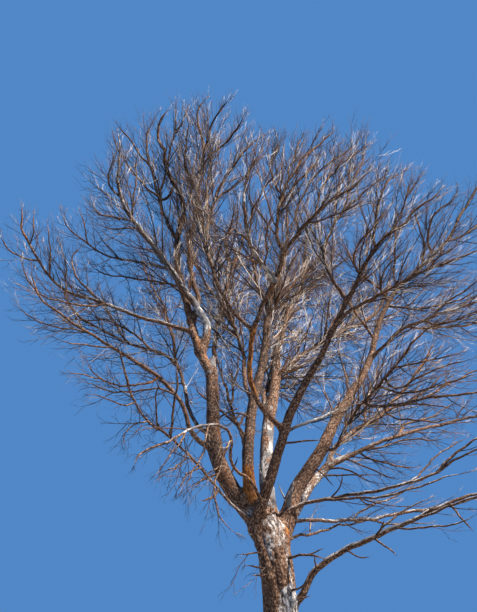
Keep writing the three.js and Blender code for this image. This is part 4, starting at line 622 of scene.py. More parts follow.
def limb_material(name):
    """Scaly bark with dark furrows, their darkness partly the bark's own and partly painted shade in the hollows. The
    look attribute gives the shares of orange flaking, of grey weathering and of bare wood.
    """
    m, nt, bsdf = new_material(name)
    link = nt.links.new
    relief_and_shade = nt.nodes.new("ShaderNodeAttribute")
    relief_and_shade.attribute_name = "relief_and_shade"
    look = nt.nodes.new("ShaderNodeAttribute")
    look.attribute_name = "look"
    part = nt.nodes.new("ShaderNodeSeparateXYZ")
    link(look.outputs["Vector"], part.inputs[0])

    def share(noise_out, amount, soft):
        """1 where the noise, which is mostly from 0.3 to 0.7, is under the amount's level."""
        level = nt.nodes.new("ShaderNodeMapRange")
        for key, v in ((1, 0.0), (2, 1.0), (3, 0.30 - soft), (4, 0.72)):
            level.inputs[key].default_value = v
        link(amount, level.inputs[0])
        diff = nt.nodes.new("ShaderNodeMath")
        diff.operation = "SUBTRACT"
        link(level.outputs[0], diff.inputs[0])
        link(noise_out, diff.inputs[1])
        edge = nt.nodes.new("ShaderNodeMapRange")
        for key, v in ((1, 0.0), (2, soft), (3, 0.0), (4, 1.0)):
            edge.inputs[key].default_value = v
        link(diff.outputs[0], edge.inputs[0])
        return edge.outputs[0]

    scale = noise_node(nt, limb_space(nt, (46, 46, 22)), detail=4, rough=0.66)
    bark = ramp(nt, scale, [(0.39, (0.012, 0.006, 0.004)), (0.47, (0.058, 0.023, 0.010)), (0.53, (0.122, 0.056, 0.026)), (0.63, (0.27, 0.180, 0.125))])
    wide = noise_node(nt, limb_space(nt, (4.0, 4.0, 1.4)), detail=4, rough=0.6)
    flake = ramp(nt, noise_node(nt, limb_space(nt, (32, 32, 14)), detail=4, rough=0.66), [(0.39, (0.036, 0.012, 0.005)), (0.48, (0.165, 0.050, 0.008)), (0.60, (0.37, 0.145, 0.030))])
    bark = mix(nt, share(wide, part.outputs[0], 0.10), bark, flake)
    grain = noise_node(nt, limb_space(nt, (32, 32, 15)), detail=4, rough=0.68)
    grey = ramp(nt, grain, [(0.41, (0.022, 0.018, 0.017)), (0.47, (0.105, 0.088, 0.080)), (0.53, (0.29, 0.255, 0.225)), (0.60, (0.54, 0.490, 0.445))])
    patch = noise_node(nt, limb_space(nt, (5.5, 5.5, 2.2)), detail=5, rough=0.65)
    bark = mix(nt, share(patch, part.outputs[1], 0.12), bark, grey)
    # the dark furrow colour where the relief is low: partly the bark's own, partly painted shade in the hollows; a
    # lowered relief spreads it as painted shade over whole limbs
    furrow_shade = ramp(nt, relief_and_shade.outputs["Fac"], [(0.20, (1, 1, 1)), (0.46, (0, 0, 0))])
    bark = mix(nt, furrow_shade, bark, (0.022, 0.015, 0.011))
    # bare wood: silvery, with long dark lines that are partly checks and partly painted shadows of twigs, and patches
    # of painted shadow
    body = ramp(nt, noise_node(nt, limb_space(nt, (26, 26, 5.0)), detail=5, rough=0.65), [(0.34, (0.165, 0.145, 0.130)), (0.48, (0.29, 0.264, 0.244)), (0.64, (0.46, 0.424, 0.396))])
    # thin dark loops on the bare wood: partly checks in the wood, partly painted shadows of twigs
    checks_and_twig_shadows = nt.nodes.new("ShaderNodeMath")
    checks_and_twig_shadows.operation = "SUBTRACT"
    checks_and_twig_shadows.inputs[1].default_value = 0.5
    link(noise_node(nt, limb_space(nt, (7.5, 7.5, 4.0)), detail=2, rough=0.5), checks_and_twig_shadows.inputs[0])
    size = nt.nodes.new("ShaderNodeMath")
    size.operation = "ABSOLUTE"
    link(checks_and_twig_shadows.outputs[0], size.inputs[0])
    body = mix(nt, ramp(nt, size.outputs[0], [(0.012, (1, 1, 1)), (0.034, (0, 0, 0))]), body, (0.040, 0.032, 0.028))
    scraps = noise_node(nt, limb_space(nt, (8, 8, 2.6)), detail=5, rough=0.7)
    # dark grey patches on the bare wood: painted shadows, standing for the shade that neighbouring limbs throw on it
    painted_shadow = noise_node(nt, limb_space(nt, (4.5, 4.5, 3.4)), detail=4, rough=0.6)
    body = mix(nt, ramp(nt, painted_shadow, [(0.480, (0.88,) * 3), (0.520, (0.0,) * 3)]), body, (0.085, 0.080, 0.083))
    colour = mix(nt, share(scraps, part.outputs[2], 0.03), bark, body)
    link(colour, bsdf.inputs["Base Color"])
    fine = noise_node(nt, limb_space(nt, (80, 80, 34)), detail=4, rough=0.6)
    link(ramp(nt, fine, [(0.3, (0.74,) * 3), (0.7, (0.96,) * 3)]), bsdf.inputs["Roughness"])
    bump = nt.nodes.new("ShaderNodeBump")
    bump.inputs["Strength"].default_value = 0.6
    bump.inputs["Distance"].default_value = 0.008
    link(scale, bump.inputs["Height"])
    link(bump.outputs["Normal"], bsdf.inputs["Normal"])
    return m


def twig_material(name, colour, rough=0.8):
    m, nt, bsdf = new_material(name)
    bsdf.inputs["Base Color"].default_value = (*colour, 1)
    bsdf.inputs["Roughness"].default_value = rough
    return m


LIMB_BARK = limb_material("bark")
TONES = [
    twig_material("twig_pale", (0.55, 0.475, 0.41)),
    twig_material("twig_tan", (0.235, 0.160, 0.105)),
    twig_material("twig_brown", (0.078, 0.032, 0.011)),
    twig_material("twig_dark", (0.014, 0.008, 0.006)),
]


def wear_and_painted_top_light(looks, verts, centres, radii, amount):
    """Bare wood on the upper side, bark on the lower: partly wear, partly painted light on the top and painted shade
    underneath.
    """
    looks = np.array(looks, float)
    looks[:, 2] = np.clip(looks[:, 2] + amount * np.clip(1.4 * (verts[:, 2] - centres[:, 2]) / radii, -1, 1), 0, 1.2)
    return looks


def look_along(name, share):
    t = np.array(LOOKS[name], float)
    return np.column_stack([np.interp(share, t[:, 0], t[:, k]) for k in (1, 2, 3)])


def finish_piece(ob, slot, *nodes):
    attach(ob, "root")
    if nodes:
        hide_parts(*nodes)
    return ob


# ---------------------------------------------------------------- trunk
rng = np.random.default_rng(40)
courses, radii_of, lengths = {}, {}, {}
trunk_line = course(np.zeros(3), TRUNK_COURSE[0] * MM, TRUNK_COURSE[1])
courses["trunk"], lengths["trunk"] = trunk_line, TRUNK_COURSE[0] * MM


FORK_FROM, FORK_TO = 4.45, 5.40
trunk_heights = np.arange(0, TRUNK_RADII[-1][0] * MM + 0.0095, 0.019)
trunk_heights[-1] = TRUNK_RADII[-1][0] * MM


def trunk_smooth():
    table_h, table_r = np.array(TRUNK_RADII, float).T * MM
    sharp = np.interp(trunk_heights, table_h, table_r)
    pad = np.concatenate([np.full(20, sharp[0]), sharp, np.full(20, sharp[-1])])
    soft = np.convolve(pad, np.hanning(27) / np.hanning(27).sum(), "same")[20:-20]
    draw = np.clip((trunk_heights - FORK_FROM) / (FORK_TO - FORK_FROM), 0, 1)
    return np.minimum(np.where(trunk_heights < 5.1, soft, np.minimum(soft, sharp + 0.01)), soft * (1 - 0.50 * draw ** 1.5))


def make_trunk(near):
    top, sides, heights, radius = trunk_line[-1][2], 112, trunk_heights, trunk_smooth()
    middle = along(trunk_line, np.minimum(heights / top, 1))
    T = np.tile(np.arange(sides) * 2 * math.pi / sides, len(heights))
    H, R = np.repeat(heights, sides), np.repeat(radius, sides)
    fade = np.exp(-H / (ROOT_LOBE_HEIGHT * MM))
    lobe = ROOT_LOBE_DEPTH * fade * np.sin(ROOT_LOBES * T + 0.7) + 0.045 * np.sin(2 * T + 1.1 + H / 2.6) + 0.025 * np.sin(3 * T - H / 1.3)
    local = np.column_stack([np.cos(T) * R, np.sin(T) * R])
    height = bark_height(local, H, 0.3, 3)
    flute = noise(np.column_stack([np.cos(T) * 2.1, np.sin(T) * 2.1, H * 0.5]), 12) - 0.5
    lump = noise(np.column_stack([np.cos(T) * 3.4, np.sin(T) * 3.4, H * 2.6]), 14) - 0.5
    end = np.clip((TRUNK_RADII[-1][0] * MM - H) / 0.2, 0, 1)
    r = R * (1 + lobe + 0.10 * flute + 0.05 * lump)
    W = (T + math.pi) % (2 * math.pi) - math.pi     # 0 to the right, -1.57 to the front
    ridge_at = np.interp(H, [3.4, 3.9, 4.25, 4.45, 4.65, 5.0, 5.2, 5.6], [-0.85, -0.9, -0.98, -1.3, -1.65, -2.15, -2.6, -2.8])
    furrow_at = np.interp(H, [4.2, 4.5, 4.9, 5.3, 5.6], [-1.05, -1.28, -1.36, -1.52, -1.6])
    bell = lambda x, width: np.exp(-(x / width) ** 2)
    high = np.clip((H - 4.15) / 0.45, 0, 1)
    r = r + 0.030 * bell(W - ridge_at, 0.34) * np.clip((H - 3.5) / 0.6, 0, 1) - 0.075 * bell(W - furrow_at, 0.20) * high + 0.02 * bell(W + 0.75, 0.35) * high
    normal = np.column_stack([np.cos(T), np.sin(T), np.zeros(len(T))])
    base = np.column_stack([np.repeat(middle[:, 0], sides), np.repeat(middle[:, 1], sides), H])
    r = r + swell(base + normal * r[:, None], normal, near)
    r = r + (height - 0.6) * 0.019 * end
    verts = np.vstack([base + normal * r[:, None], [middle[0, 0], middle[0, 1], 0], [middle[-1, 0], middle[-1, 1], heights[-1]]])
    n, k = len(heights), np.arange(sides)
    caps = np.vstack([np.column_stack([np.full(sides, n * sides), (k + 1) % sides, k]),
                      np.column_stack([np.full(sides, n * sides + 1), (n - 1) * sides + k, (n - 1) * sides + (k + 1) % sides])])
    coords = np.vstack([np.column_stack([local, H]), [0, 0, 0], [0, 0, heights[-1]]])
    saddle = np.clip((H - 4.95) / 0.3, 0, 1)
    front = bell(W + 1.5, 0.75)
    flaked = 0.10 + 0.40 * bell(W + 0.35, 0.32) * high + 0.10 * bell(W - 1.5, 1.2)
    weathered = 0.27 + 0.80 * bell(W + 1.0, 0.75) * (0.45 + 0.55 * np.clip((H - 1.2) / 2.4, 0, 1)) * (1 - 0.85 * high) + 0.25 * saddle * front + 0.25 * bell(W - ridge_at, 0.4) + 0.20 * bell(W + 1.0, 0.50) * high
    bare = 0.03 + 0.95 * bell(W - ridge_at, np.where(H < 4.45, 0.42, 0.28)) * np.clip((H - 3.75) / 0.3, 0, 1) * (1 - 0.45 * high) + 0.15 * saddle * front
    looks = np.vstack([np.column_stack([flaked, weathered, bare]), [[0.1, 0.4, 0.0], [0.1, 0.4, 0.5]]])
    # the relief at the front of the trunk's top is lowered: painted shade under the limbs, as the dark furrow colour
    # spreads there
    ob = add_mesh("trunk_bark", verts, [tube_faces(n, sides), caps], [LIMB_BARK],
                  [("limb", "FLOAT_VECTOR", coords), ("relief_and_shade", "FLOAT", np.concatenate([height * (1 - 0.22 * high * bell(W + 1.2, 0.9)), [0.5, 0.5]])), ("look", "FLOAT_VECTOR", looks)])
    finish_piece(ob, "bark", "trunk")


# ---------------------------------------------------------------- limbs
chief = {r[0] for r in LIMBS}


def carries_on(row):
    return row[1] != "trunk" and row[2] > 0.955


def taper(row, s, parent_radius):
    foot, end, length = row[4] * MM, row[5] * MM, row[3] * MM
    body = end + (foot - end) * (1 - s) ** 0.85
    body = body * SLIM.get(row[0], 1.0 if row[1] == "trunk" else 0.92 if row[0] in chief else 0.86)
    if carries_on(row):  # takes up its parent's width
        start = max(parent_radius, foot * 0.9)
        return body + (start - body[0]) * np.exp(-s * length / 0.35)
    d = np.maximum(0, s * length - parent_radius * 0.9)
    if row[1] == "trunk":
        return body + 0.16 * foot * np.exp(-d / (1.6 * foot))
    return body + 0.26 * foot * np.exp(-d / (1.6 * foot))


def radius_at(name, s):
    if name == "trunk":
        h = trunk_line[-1][2] * s
        return float(np.interp(h, [a * MM for a, _ in TRUNK_RADII], [b * MM for _, b in TRUNK_RADII]))
    return float(np.interp(s, np.linspace(0, 1, len(radii_of[name])), radii_of[name]))


def lay(row, name):
    start = along(courses[row[1]], row[2])
    length = row[3] * MM
    line = course(start, length, row[6])
    p = kinked(line, length, row[4] * MM, rng)
    s = np.linspace(0, 1, len(p))
    courses[name], lengths[name] = p, length
    radii_of[name] = taper(row, s, radius_at(row[1], row[2]))


for row in LIMBS:
    lay(row, row[0])
counts, mass_of, rows = {}, {}, {r[0]: r for r in LIMBS}
for row in BRANCHES:
    counts[row[0]] = counts.get(row[0], 0) + 1
    name = f"{row[0]}_{counts[row[0]]}"
    lay(row, name)
    mass_of[name], rows[name] = row[0], row
for row in STICKS:
    lay(row, row[0])
    rows[row[0]] = row


def balls(name):
    """A limb as close-set balls, for the swelling of the limbs that meet it."""
    if name == "trunk":
        keep = trunk_heights < 5.5
        return along(trunk_line, np.minimum(trunk_heights[keep] / trunk_line[-1][2], 1)), trunk_smooth()[keep]
    p, r, length = courses[name], radii_of[name], lengths[name]
    s = np.linspace(0, 1, int(length / max(0.012, r.mean() * 0.25)))
    return along(p, s), np.interp(s, np.linspace(0, 1, len(r)), r)


def around(points, chain, reach):
    """The balls of a chain that come near a line of points."""
    centres, radii = chain
    d = np.linalg.norm(centres[:, None] - points[None, ::3], axis=2).min(1) - radii
    keep = d < reach
    return centres[keep], radii[keep]


# the boughs that run down into the trunk: the share at which each leaves its own line, how far down it goes, and where it ends against the trunk's middle
ROOTS = {"front_limb": (0.22, 1.15, -0.15, -0.20), "left_limb": (0.06, 0.80, -0.10, 0.02), "right_limb": (0.08, 1.00, 0.10, -0.10),
         "centre_limb": (0.06, 0.80, -0.02, 0.05), "bleached_stem": (0.06, 0.70, 0.02, 0.08), "back_right_limb": (0.08, 0.80, 0.10, 0.10)}


def rooted(name):
    """A limb's line and radii; one that rises from the fork sets out deep inside the trunk."""
    p, r = courses[name], radii_of[name]
    if name not in ROOTS:
        return p, r
    share, drop, dx, dy = ROOTS[name]
    i = max(1, int(share * (len(p) - 1)))
    end, tangent = p[i], unit(p[i + 1] - p[i - 1])
    low = along(trunk_line, (end[2] - drop) / trunk_line[-1][2]) + [dx, dy, 0]
    t = np.linspace(0, 1, 22)[:-1, None]
    reach = np.linalg.norm(end - low)
    down = (2 * t ** 3 - 3 * t ** 2 + 1) * low + (t ** 3 - 2 * t ** 2 + t) * (np.array([0, 0, 1.0]) * reach) + (3 * t ** 2 - 2 * t ** 3) * end + (t ** 3 - t ** 2) * (tangent * reach)
    return np.vstack([down, p[i:]]), np.concatenate([r[i] * (0.55 + 0.45 * np.linspace(0, 1, 21) ** 0.7), r[i:]])


chains = {name: balls(name) for name in ["trunk"] + [r[0] for r in LIMBS]}
BIG_FORK = [r[0] for r in LIMBS if r[1] == "trunk"]


def neighbours(name):
    """The limbs that this one meets: the one it leaves, those that leave it, and its fellows at the same fork."""
    near = []
    mine = rows[name] if name != "trunk" else None
    for row in LIMBS + [None]:
        other = row[0] if row else "trunk"
        if other == name:
            continue
        fellow = row and mine and row[1] == mine[1] and abs(row[2] - mine[2]) * lengths[row[1]] < 1.2
        if not (fellow or (mine and mine[1] == other) or (row and row[1] == name)):
            continue
        feet = [r[4] * MM for r in (row, mine) if r]
        k = min(0.22, 1.1 * min(feet) + 0.01)
        if (mine and mine[1] == other and carries_on(mine)) or (row and row[1] == name and carries_on(row)):
            k *= 0.35
        if name == "trunk":
            where, width = trunk_line[::2], 0.5
        else:
            share = min(1.0, 1.6 / lengths[name]) if (mine[1] == other or fellow) else 1.0
            where, width = along(courses[name], np.linspace(0, share, 60)), 0.25
        chain = around(where, chains[other], width + k)
        if len(chain[0]):
            near.append((chain, k))
    return near


make_trunk(neighbours("trunk"))
solid_nodes = set(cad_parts)
for n, row in enumerate(LIMBS):
    name = row[0]
    p, r = rooted(name)
    step = np.concatenate([[0], np.cumsum(np.linalg.norm(np.diff(p, axis=0), axis=1))])
    length, body = step[-1], lengths[name]
    fine = max(0.019, min(0.032, radii_of[name].mean() * 0.32))
    at = np.linspace(0, length, int(length / fine) + 1)
    pts = np.column_stack([np.interp(at, step, p[:, k]) for k in range(3)])
    rad = np.interp(at, step, r)
    sides = int(np.clip(round(2 * math.pi * radii_of[name].mean() / fine / 1.15), 9, 48))
    base = length - body
    depth = float(np.clip(radii_of[name].mean() * 0.085, 0.0020, 0.012)) * (0.5 if name in PALE_LIMBS else 1.0)
    verts, faces, coords, relief_and_shade, share = limb_surface(pts, rad, sides, depth, 11 + n, 0.06, neighbours(name))
    looks = look_along(name, (share * length - base) / body)
    # paler bare wood on the upper side, bark below: partly wear, partly painted light on top and painted shade
    # underneath
    if name in WORN_AND_PAINTED_TOP_LIGHT:
        centres = np.column_stack([np.interp(share * length, at, pts[:, k]) for k in range(3)])
        looks = wear_and_painted_top_light(looks, verts, centres, np.interp(share * length, at, rad), WORN_AND_PAINTED_TOP_LIGHT[name])
    # painted shade: past its foot, the relief of a limb in the shade table is lowered, so the dark furrow colour
    # darkens it
    ob = add_mesh(name + "_bark", verts, faces, [LIMB_BARK],
                  [("limb", "FLOAT_VECTOR", coords + [n * 1.7, n * 0.9, 0]), ("relief_and_shade", "FLOAT", relief_and_shade * np.interp(share, [0.22, 0.30], [1, LIMB_PAINTED_SHADE.get(name, 1)])), ("look", "FLOAT_VECTOR", looks)])
    finish_piece(ob, "bleached_wood" if name in PALE_LIMBS else "bark", *([name] if name in solid_nodes else []))


# the broken top that stands on beside the left limb's next stretch
start = along(courses["left_limb"], 0.97)
line = course(start, STUB[0] * MM, STUB[3])
s = np.linspace(0, 1, 26)
rad = STUB[1] * MM + (STUB[2] - STUB[1]) * MM * s
rad[-4:] *= (0.97, 0.88, 0.66, 0.30)
verts, faces, coords, relief_and_shade, share = limb_surface(along(line, s), rad, 26, 0.010, 71, 0.10, [(around(line, chains["left_limb"], 0.4), 0.10), (around(line, chains["left_limb_top"], 0.4), 0.06)])
jag = noise(coords[:, :3] * [60, 60, 0.1], 8)
top = share > 0.9
verts[top] += (unit(line[-1] - line[-3])[None] * ((jag[top] - 0.35) * 0.16)[:, None])
ob = add_mesh("left_limb_broken_top", verts, faces, [LIMB_BARK],
              [("limb", "FLOAT_VECTOR", coords), ("relief_and_shade", "FLOAT", relief_and_shade), ("look", "FLOAT_VECTOR", np.tile([0.2, 0.4, 0.62], (len(verts), 1)))])
finish_piece(ob, "bleached_wood")


# ---------------------------------------------------------------- branches and sticks: slim tubes joined by the part of the crown
def slim_tubes(piece, names, seed):
    V, Q, T, C, H, K, base = [], [], [], [], [], [], 0
    tint = np.random.default_rng(seed)
    for k, name in enumerate(names):
        p, r, length = courses[name], radii_of[name], lengths[name]
        s = np.linspace(0, 1, max(6, int(length / 0.055)) + 1)
        rad = np.interp(s, np.linspace(0, 1, len(r)), r) * np.clip((1.02 - s) / 0.22, 0.25, 1) * 1.30
        verts, faces, coords, relief_and_shade, share = limb_surface(along(p, s), rad, 6 if r.mean() > 0.016 else 5, 0.0014, seed + k, 0.08)
        look = np.array([tint.choice([0.25, 0.45, 0.6]), tint.choice([0.1, 0.2, 0.4]), tint.choice([0.0, 0.10, 0.7], p=[0.65, 0.25, 0.10])])
        if mass_of.get(name) in ("right_low_fan", "right_back_low_fan", "right_lowest_fan"):
            look = np.array([0.05, 0.40, 0.25])
        if mass_of.get(name) in ("front_hanging", "front_left_low"):
            look = np.array([0.15, 0.35, 0.10])
        if piece == "dead_sticks":
            look = np.array([0.5 * look[0], max(look[1], 0.3), look[2]])
        if name == "centre_top_2":
            look = np.array([0.3, 0.2, 0.0])
        if name in ("k_lit", "eb", "eb2"):
            look = np.array([0.1, 0.3, 0.95])
        V.append(verts), Q.append(faces[0] + base), T.append(faces[1] + base), H.append(relief_and_shade * (1.0 if look[2] > 0.5 else 0.60))
        C.append(coords + [k * 0.37, k * 0.73, 0])
        # bare wood on the branches' upper side: partly wear, partly painted light on top and painted shade underneath
        K.append(wear_and_painted_top_light(np.tile(look, (len(verts), 1)), verts, along(p, share), np.interp(share, s, rad), 0.35 if look[2] < 0.9 and (mass_of.get(name, "").startswith("right_low") or mass_of.get(name, "").startswith("right_back")) else 0.12))
        base += len(verts)
    ob = add_mesh(piece, np.vstack(V), [np.vstack(Q), np.vstack(T)], [LIMB_BARK],
                  [("limb", "FLOAT_VECTOR", np.vstack(C)), ("relief_and_shade", "FLOAT", np.concatenate(H)), ("look", "FLOAT_VECTOR", np.vstack(K))])
    return ob


branch_names = list(mass_of)
for k, (piece, starts) in enumerate((("left_branches", "left_"), ("front_branches", "front_"), ("centre_branches", "centre_"),
                                     ("back_branches", "back_"), ("right_branches", "right_"))):
    mine = [n for n in branch_names if n.startswith(starts)]
    finish_piece(slim_tubes(piece, mine, 100 + 60 * k), "twigs")
finish_piece(slim_tubes("dead_sticks", [r[0] for r in STICKS], 500), "bark")


# ---------------------------------------------------------------- twigs
def grow(start, first, pull, length, steps, wander, rng):
    """Many twigs at once: each sets out along first and turns towards pull. Returns (n, steps + 1, 3)."""
    n = len(start)
    out = np.empty((n, steps + 1, 3))
    out[:, 0] = start
    crook = rng.normal(0, 1, (n, 3)) * wander
    for i in range(steps):
        s = (i + 0.6) / steps
        crook = 0.55 * crook + rng.normal(0, 1, (n, 3)) * wander
        way = unit(first * (1 - s) ** 1.2 + pull * (1 - (1 - s) ** 1.2) + crook)
        out[:, i + 1] = out[:, i] + way * (length / steps)[:, None]
    return out


def thread(lines, r0, r1, sides=3):
    """Joined thin tubes round lines (n, k + 1, 3), each ending in a point."""
    n, m, _ = lines.shape
    way = np.empty_like(lines)
    way[:, 1:-1] = lines[:, 2:] - lines[:, :-2]
    way[:, 0], way[:, -1] = lines[:, 1] - lines[:, 0], lines[:, -1] - lines[:, -2]
    way = unit(way)
    mean = unit(lines[:, -1] - lines[:, 0])
    ref = np.where(np.abs(mean[:, 2:3]) < 0.8, [[0.0, 0.0, 1.0]], [[1.0, 0.0, 0.0]])
    side = unit(np.cross(np.repeat(ref[:, None], m, 1), way))
    other = np.cross(way, side)
    s = np.linspace(0, 1, m)
    r = r0[:, None] * (1 - s) + r1[:, None] * s
    turn = np.arange(sides) * 2 * math.pi / sides
    ring = side[:, :, None] * np.cos(turn)[None, None, :, None] + other[:, :, None] * np.sin(turn)[None, None, :, None]
    rings = (lines[:, :-1, None] + ring[:, :-1] * r[:, :-1, None, None]).reshape(n, (m - 1) * sides, 3)
    verts = np.concatenate([rings, lines[:, -1:]], axis=1).reshape(-1, 3)
    per = (m - 1) * sides + 1
    quad = tube_faces(m - 1, sides)
    k = np.arange(sides)
    cone = np.column_stack([(m - 2) * sides + k, (m - 2) * sides + (k + 1) % sides, np.full(sides, per - 1)])
    base = np.arange(n)[:, None, None] * per
    return verts, (base + quad[None]).reshape(-1, 4), (base + cone[None]).reshape(-1, 3)


carriers = [(n, 0.04, mass_of[n]) for n in branch_names]
first_mass = {}
for n in branch_names:
    first_mass.setdefault(rows[n][1], mass_of[n])
for n, at in TWIGGY_FROM.items():
    carriers.append((n, at, first_mass.get(n, "left_top")))
STICK_MASS = {"k_lit": "front_limb_crown", "ci1": "centre_left_top", "ci2": "centre_left_top", "ci3": "centre_left_top", "ci4": "centre_top",
              "di1": "back_centre_top", "di2": "back_right_top", "ei2": "right_top", "ei3": "right_top", "fi1": "back_right_fan", "fi2": "back_right_fan",
              "l1t": "front_left_low", "l1u": "front_left_low", "tl1": "front_hanging", "tl2": "front_hanging", "r5": "right_lowest_fan"}
for n, mass in STICK_MASS.items():
    carriers.append((n, 0.25, mass))

grow_rng = np.random.default_rng(1203)
UP = np.array([0.0, 0.0, 1.0])
hub = along(trunk_line, 1.0)


def sprout(s, here, ahead, lift, spread, tip, rng):
    """The first heading and the pull of what leaves a limb at points here, by turns round it."""
    out = here - hub
    out[:, 2] = 0
    out = unit(out)
    up_side = UP + out * 0.25
    up_side = unit(up_side - ahead * np.sum(up_side * ahead, 1)[:, None] + 1e-6)
    across = np.cross(ahead, up_side)
    spin = (np.arange(len(s)) * 2.4 + rng.normal(0, 0.5, len(s))) % (2 * math.pi) - math.pi
    sidew = up_side * np.cos(spin)[:, None] + across * np.sin(spin)[:, None]
    angle = np.where(tip, rng.uniform(0.05, 0.30, len(s)), rng.uniform(spread[0], spread[1], len(s)))
    first = unit(ahead * np.cos(angle)[:, None] + sidew * np.sin(angle)[:, None])
    return first, out, sidew


S0, D0, P0, L0, R0, TONE, LIFT, MASS = [], [], [], [], [], [], [], []
small = []   # shoots that stand on the branches themselves
for name, at, mass in carriers:
    p, length = courses[name], lengths[name]
    lift, long, gap, wide = HABIT[mass]
    gap *= DENSER.get(name, 1.9 if name in STICK_MASS else 1.0)
    on_branch = name in mass_of
    count = max(1, int(length * (1 - at) / (SIDE_GAP * gap)))
    s = np.clip(at + (1 - at) * (np.arange(count) + 0.2 + 0.8 * grow_rng.random(count)) / count, 0, 0.96)
    here, ahead = along(p, s), unit(along(p, np.minimum(s + 0.02, 1)) - along(p, np.maximum(s - 0.02, 0)))
    first, out, sidew = sprout(s, here, ahead, lift, (0.32 * wide, 0.68 * wide), np.zeros(len(s), bool), grow_rng)
    pull = unit(ahead * (1.10 / wide) + UP * (0.45 * lift) + out * 0.22 + sidew * (0.20 * wide ** 2))
    room = (1 - s) * length
    major = grow_rng.random(len(s)) < 0.55     # some are long and stout, like small branches
    L = SIDE_LONG * long * grow_rng.lognormal(0, 0.28, len(s)) * (0.75 + 0.35 * (1 - s)) * np.where(major, 1.6, 0.9)
    L = np.minimum(L, 0.10 + 0.68 * room) if on_branch else np.minimum(L, 0.6 + 0.8 * room)
    L = np.clip(L, 0.15, 2.4) * (0.8 if name == "front_right_top_2" else 1.0)
    thick = np.interp(s, np.linspace(0, 1, len(radii_of[name])), radii_of[name])
    S0.append(here), D0.append(first), P0.append(pull), L0.append(L)
    R0.append(np.minimum(thick * 0.68, SIDE_RADIUS * (L / SIDE_LONG) ** 0.8 * np.where(major, 1.08, 0.62)))
    slight = [0.26, 0.24, 0.24, 0.26] if mass in HAZE else [0.03, 0.20, 0.43, 0.34]
    tone = np.where(major, grow_rng.choice(4, len(s), p=[0.0, 0.08, 0.52, 0.40]), grow_rng.choice(4, len(s), p=slight))
    TONE.append(np.maximum(tone, 1) if name in STICK_MASS or mass in GREYER else tone)
    LIFT.append(np.full(len(s), lift)), MASS.append(np.full(len(s), MASSES.index(mass)))
    # shoots on the branch between them, and a few at its end
    count = max(1, int(length * (1 - at) / (0.20 * gap)))
    t = np.concatenate([np.clip(at + (1 - at) * (np.arange(count) + grow_rng.random(count)) / count, 0, 0.99), 1 - grow_rng.random(3) * 0.05])
    small.append((name, t, mass, lift, long, length))
S0, D0, P0, L0, R0, TONE, LIFT, MASS = (np.concatenate(x) for x in (S0, D0, P0, L0, R0, TONE, LIFT, MASS))
sides = grow(S0, D0, P0, L0, 7, 0.075, grow_rng)


def darker(tone, mass, height, rng):
    high = np.isin(mass, [MASSES.index(m) for m in DARK_TIPS]) & (height > 11.8 + 0.5 * rng.normal(size=len(tone))) & (rng.random(len(tone)) < 0.92)
    return np.where(high, np.minimum(tone + 1 + (tone == 0), 3), tone)


tip_rng = np.random.default_rng(401)
TONE = darker(TONE, MASS, S0[:, 2], tip_rng)

# shoots: on the side branches by turns, and straight on the branches
sparse = np.array([HABIT[m][2] for m in MASSES])[MASS]
per = np.maximum(3, (L0 / (SHOOT_GAP * np.maximum(1, sparse) ** 0.4)).astype(int))
owner = np.repeat(np.arange(len(L0)), per)
place = np.concatenate([(np.arange(k) + 0.9) / k for k in per]) + grow_rng.normal(0, 0.02, len(owner))
place = np.clip(place, 0.06, 0.995)
x = place * 7
i = np.minimum(x.astype(int), 6)
f = (x - i)[:, None]
here = sides[owner, i] * (1 - f) + sides[owner, i + 1] * f
ahead = unit(sides[owner, i + 1] - sides[owner, i])
tip = place > 0.93
WIDE = np.array([HABIT[m][3] for m in MASSES])[MASS][owner]
first, out, sidew = sprout(place, here, ahead, LIFT[owner], (0.35, 0.85), tip, grow_rng)
first = unit(first + sidew * (WIDE - 1)[:, None] * 0.5)
pull = unit(ahead * 1.0 + UP * (0.40 * LIFT[owner])[:, None] + out * 0.12 + sidew * (0.26 * WIDE ** 2)[:, None])
L = SHOOT_LONG * (1.15 - 0.55 * place) * np.clip(L0[owner] / SIDE_LONG, 0.5, 1.2) ** 0.5 * grow_rng.lognormal(0, 0.28, len(owner))
Q0, E0, W0, M0, B0, C0, F0, G0 = [here], [first], [pull], [np.clip(L, 0.12, 1.0)], [np.minimum(R0[owner] * (1 - 0.65 * place) * 0.8, SHOOT_RADIUS * (0.6 + 0.5 * L / SHOOT_LONG))], [TONE[owner]], [LIFT[owner]], [MASS[owner]]
inner = np.isin(MASS[owner], [MASSES.index(m) for m in HAZE]) & (here[:, 2] < 12.8 + 0.6 * grow_rng.normal(size=len(owner))) & (grow_rng.random(len(owner)) < 0.8)
mixed = np.where(inner, grow_rng.choice(4, len(owner), p=[0.45, 0.19, 0.11, 0.25]), grow_rng.choice(4, len(owner), p=[0.11, 0.15, 0.30, 0.44]))
C0[0] = np.where(grow_rng.random(len(owner)) < 0.75, mixed, C0[0])
C0[0] = np.where(np.isin(MASS[owner], [MASSES.index(m) for m in GREYER]) & (grow_rng.random(len(owner)) < 0.8), np.maximum(C0[0], 1), C0[0])
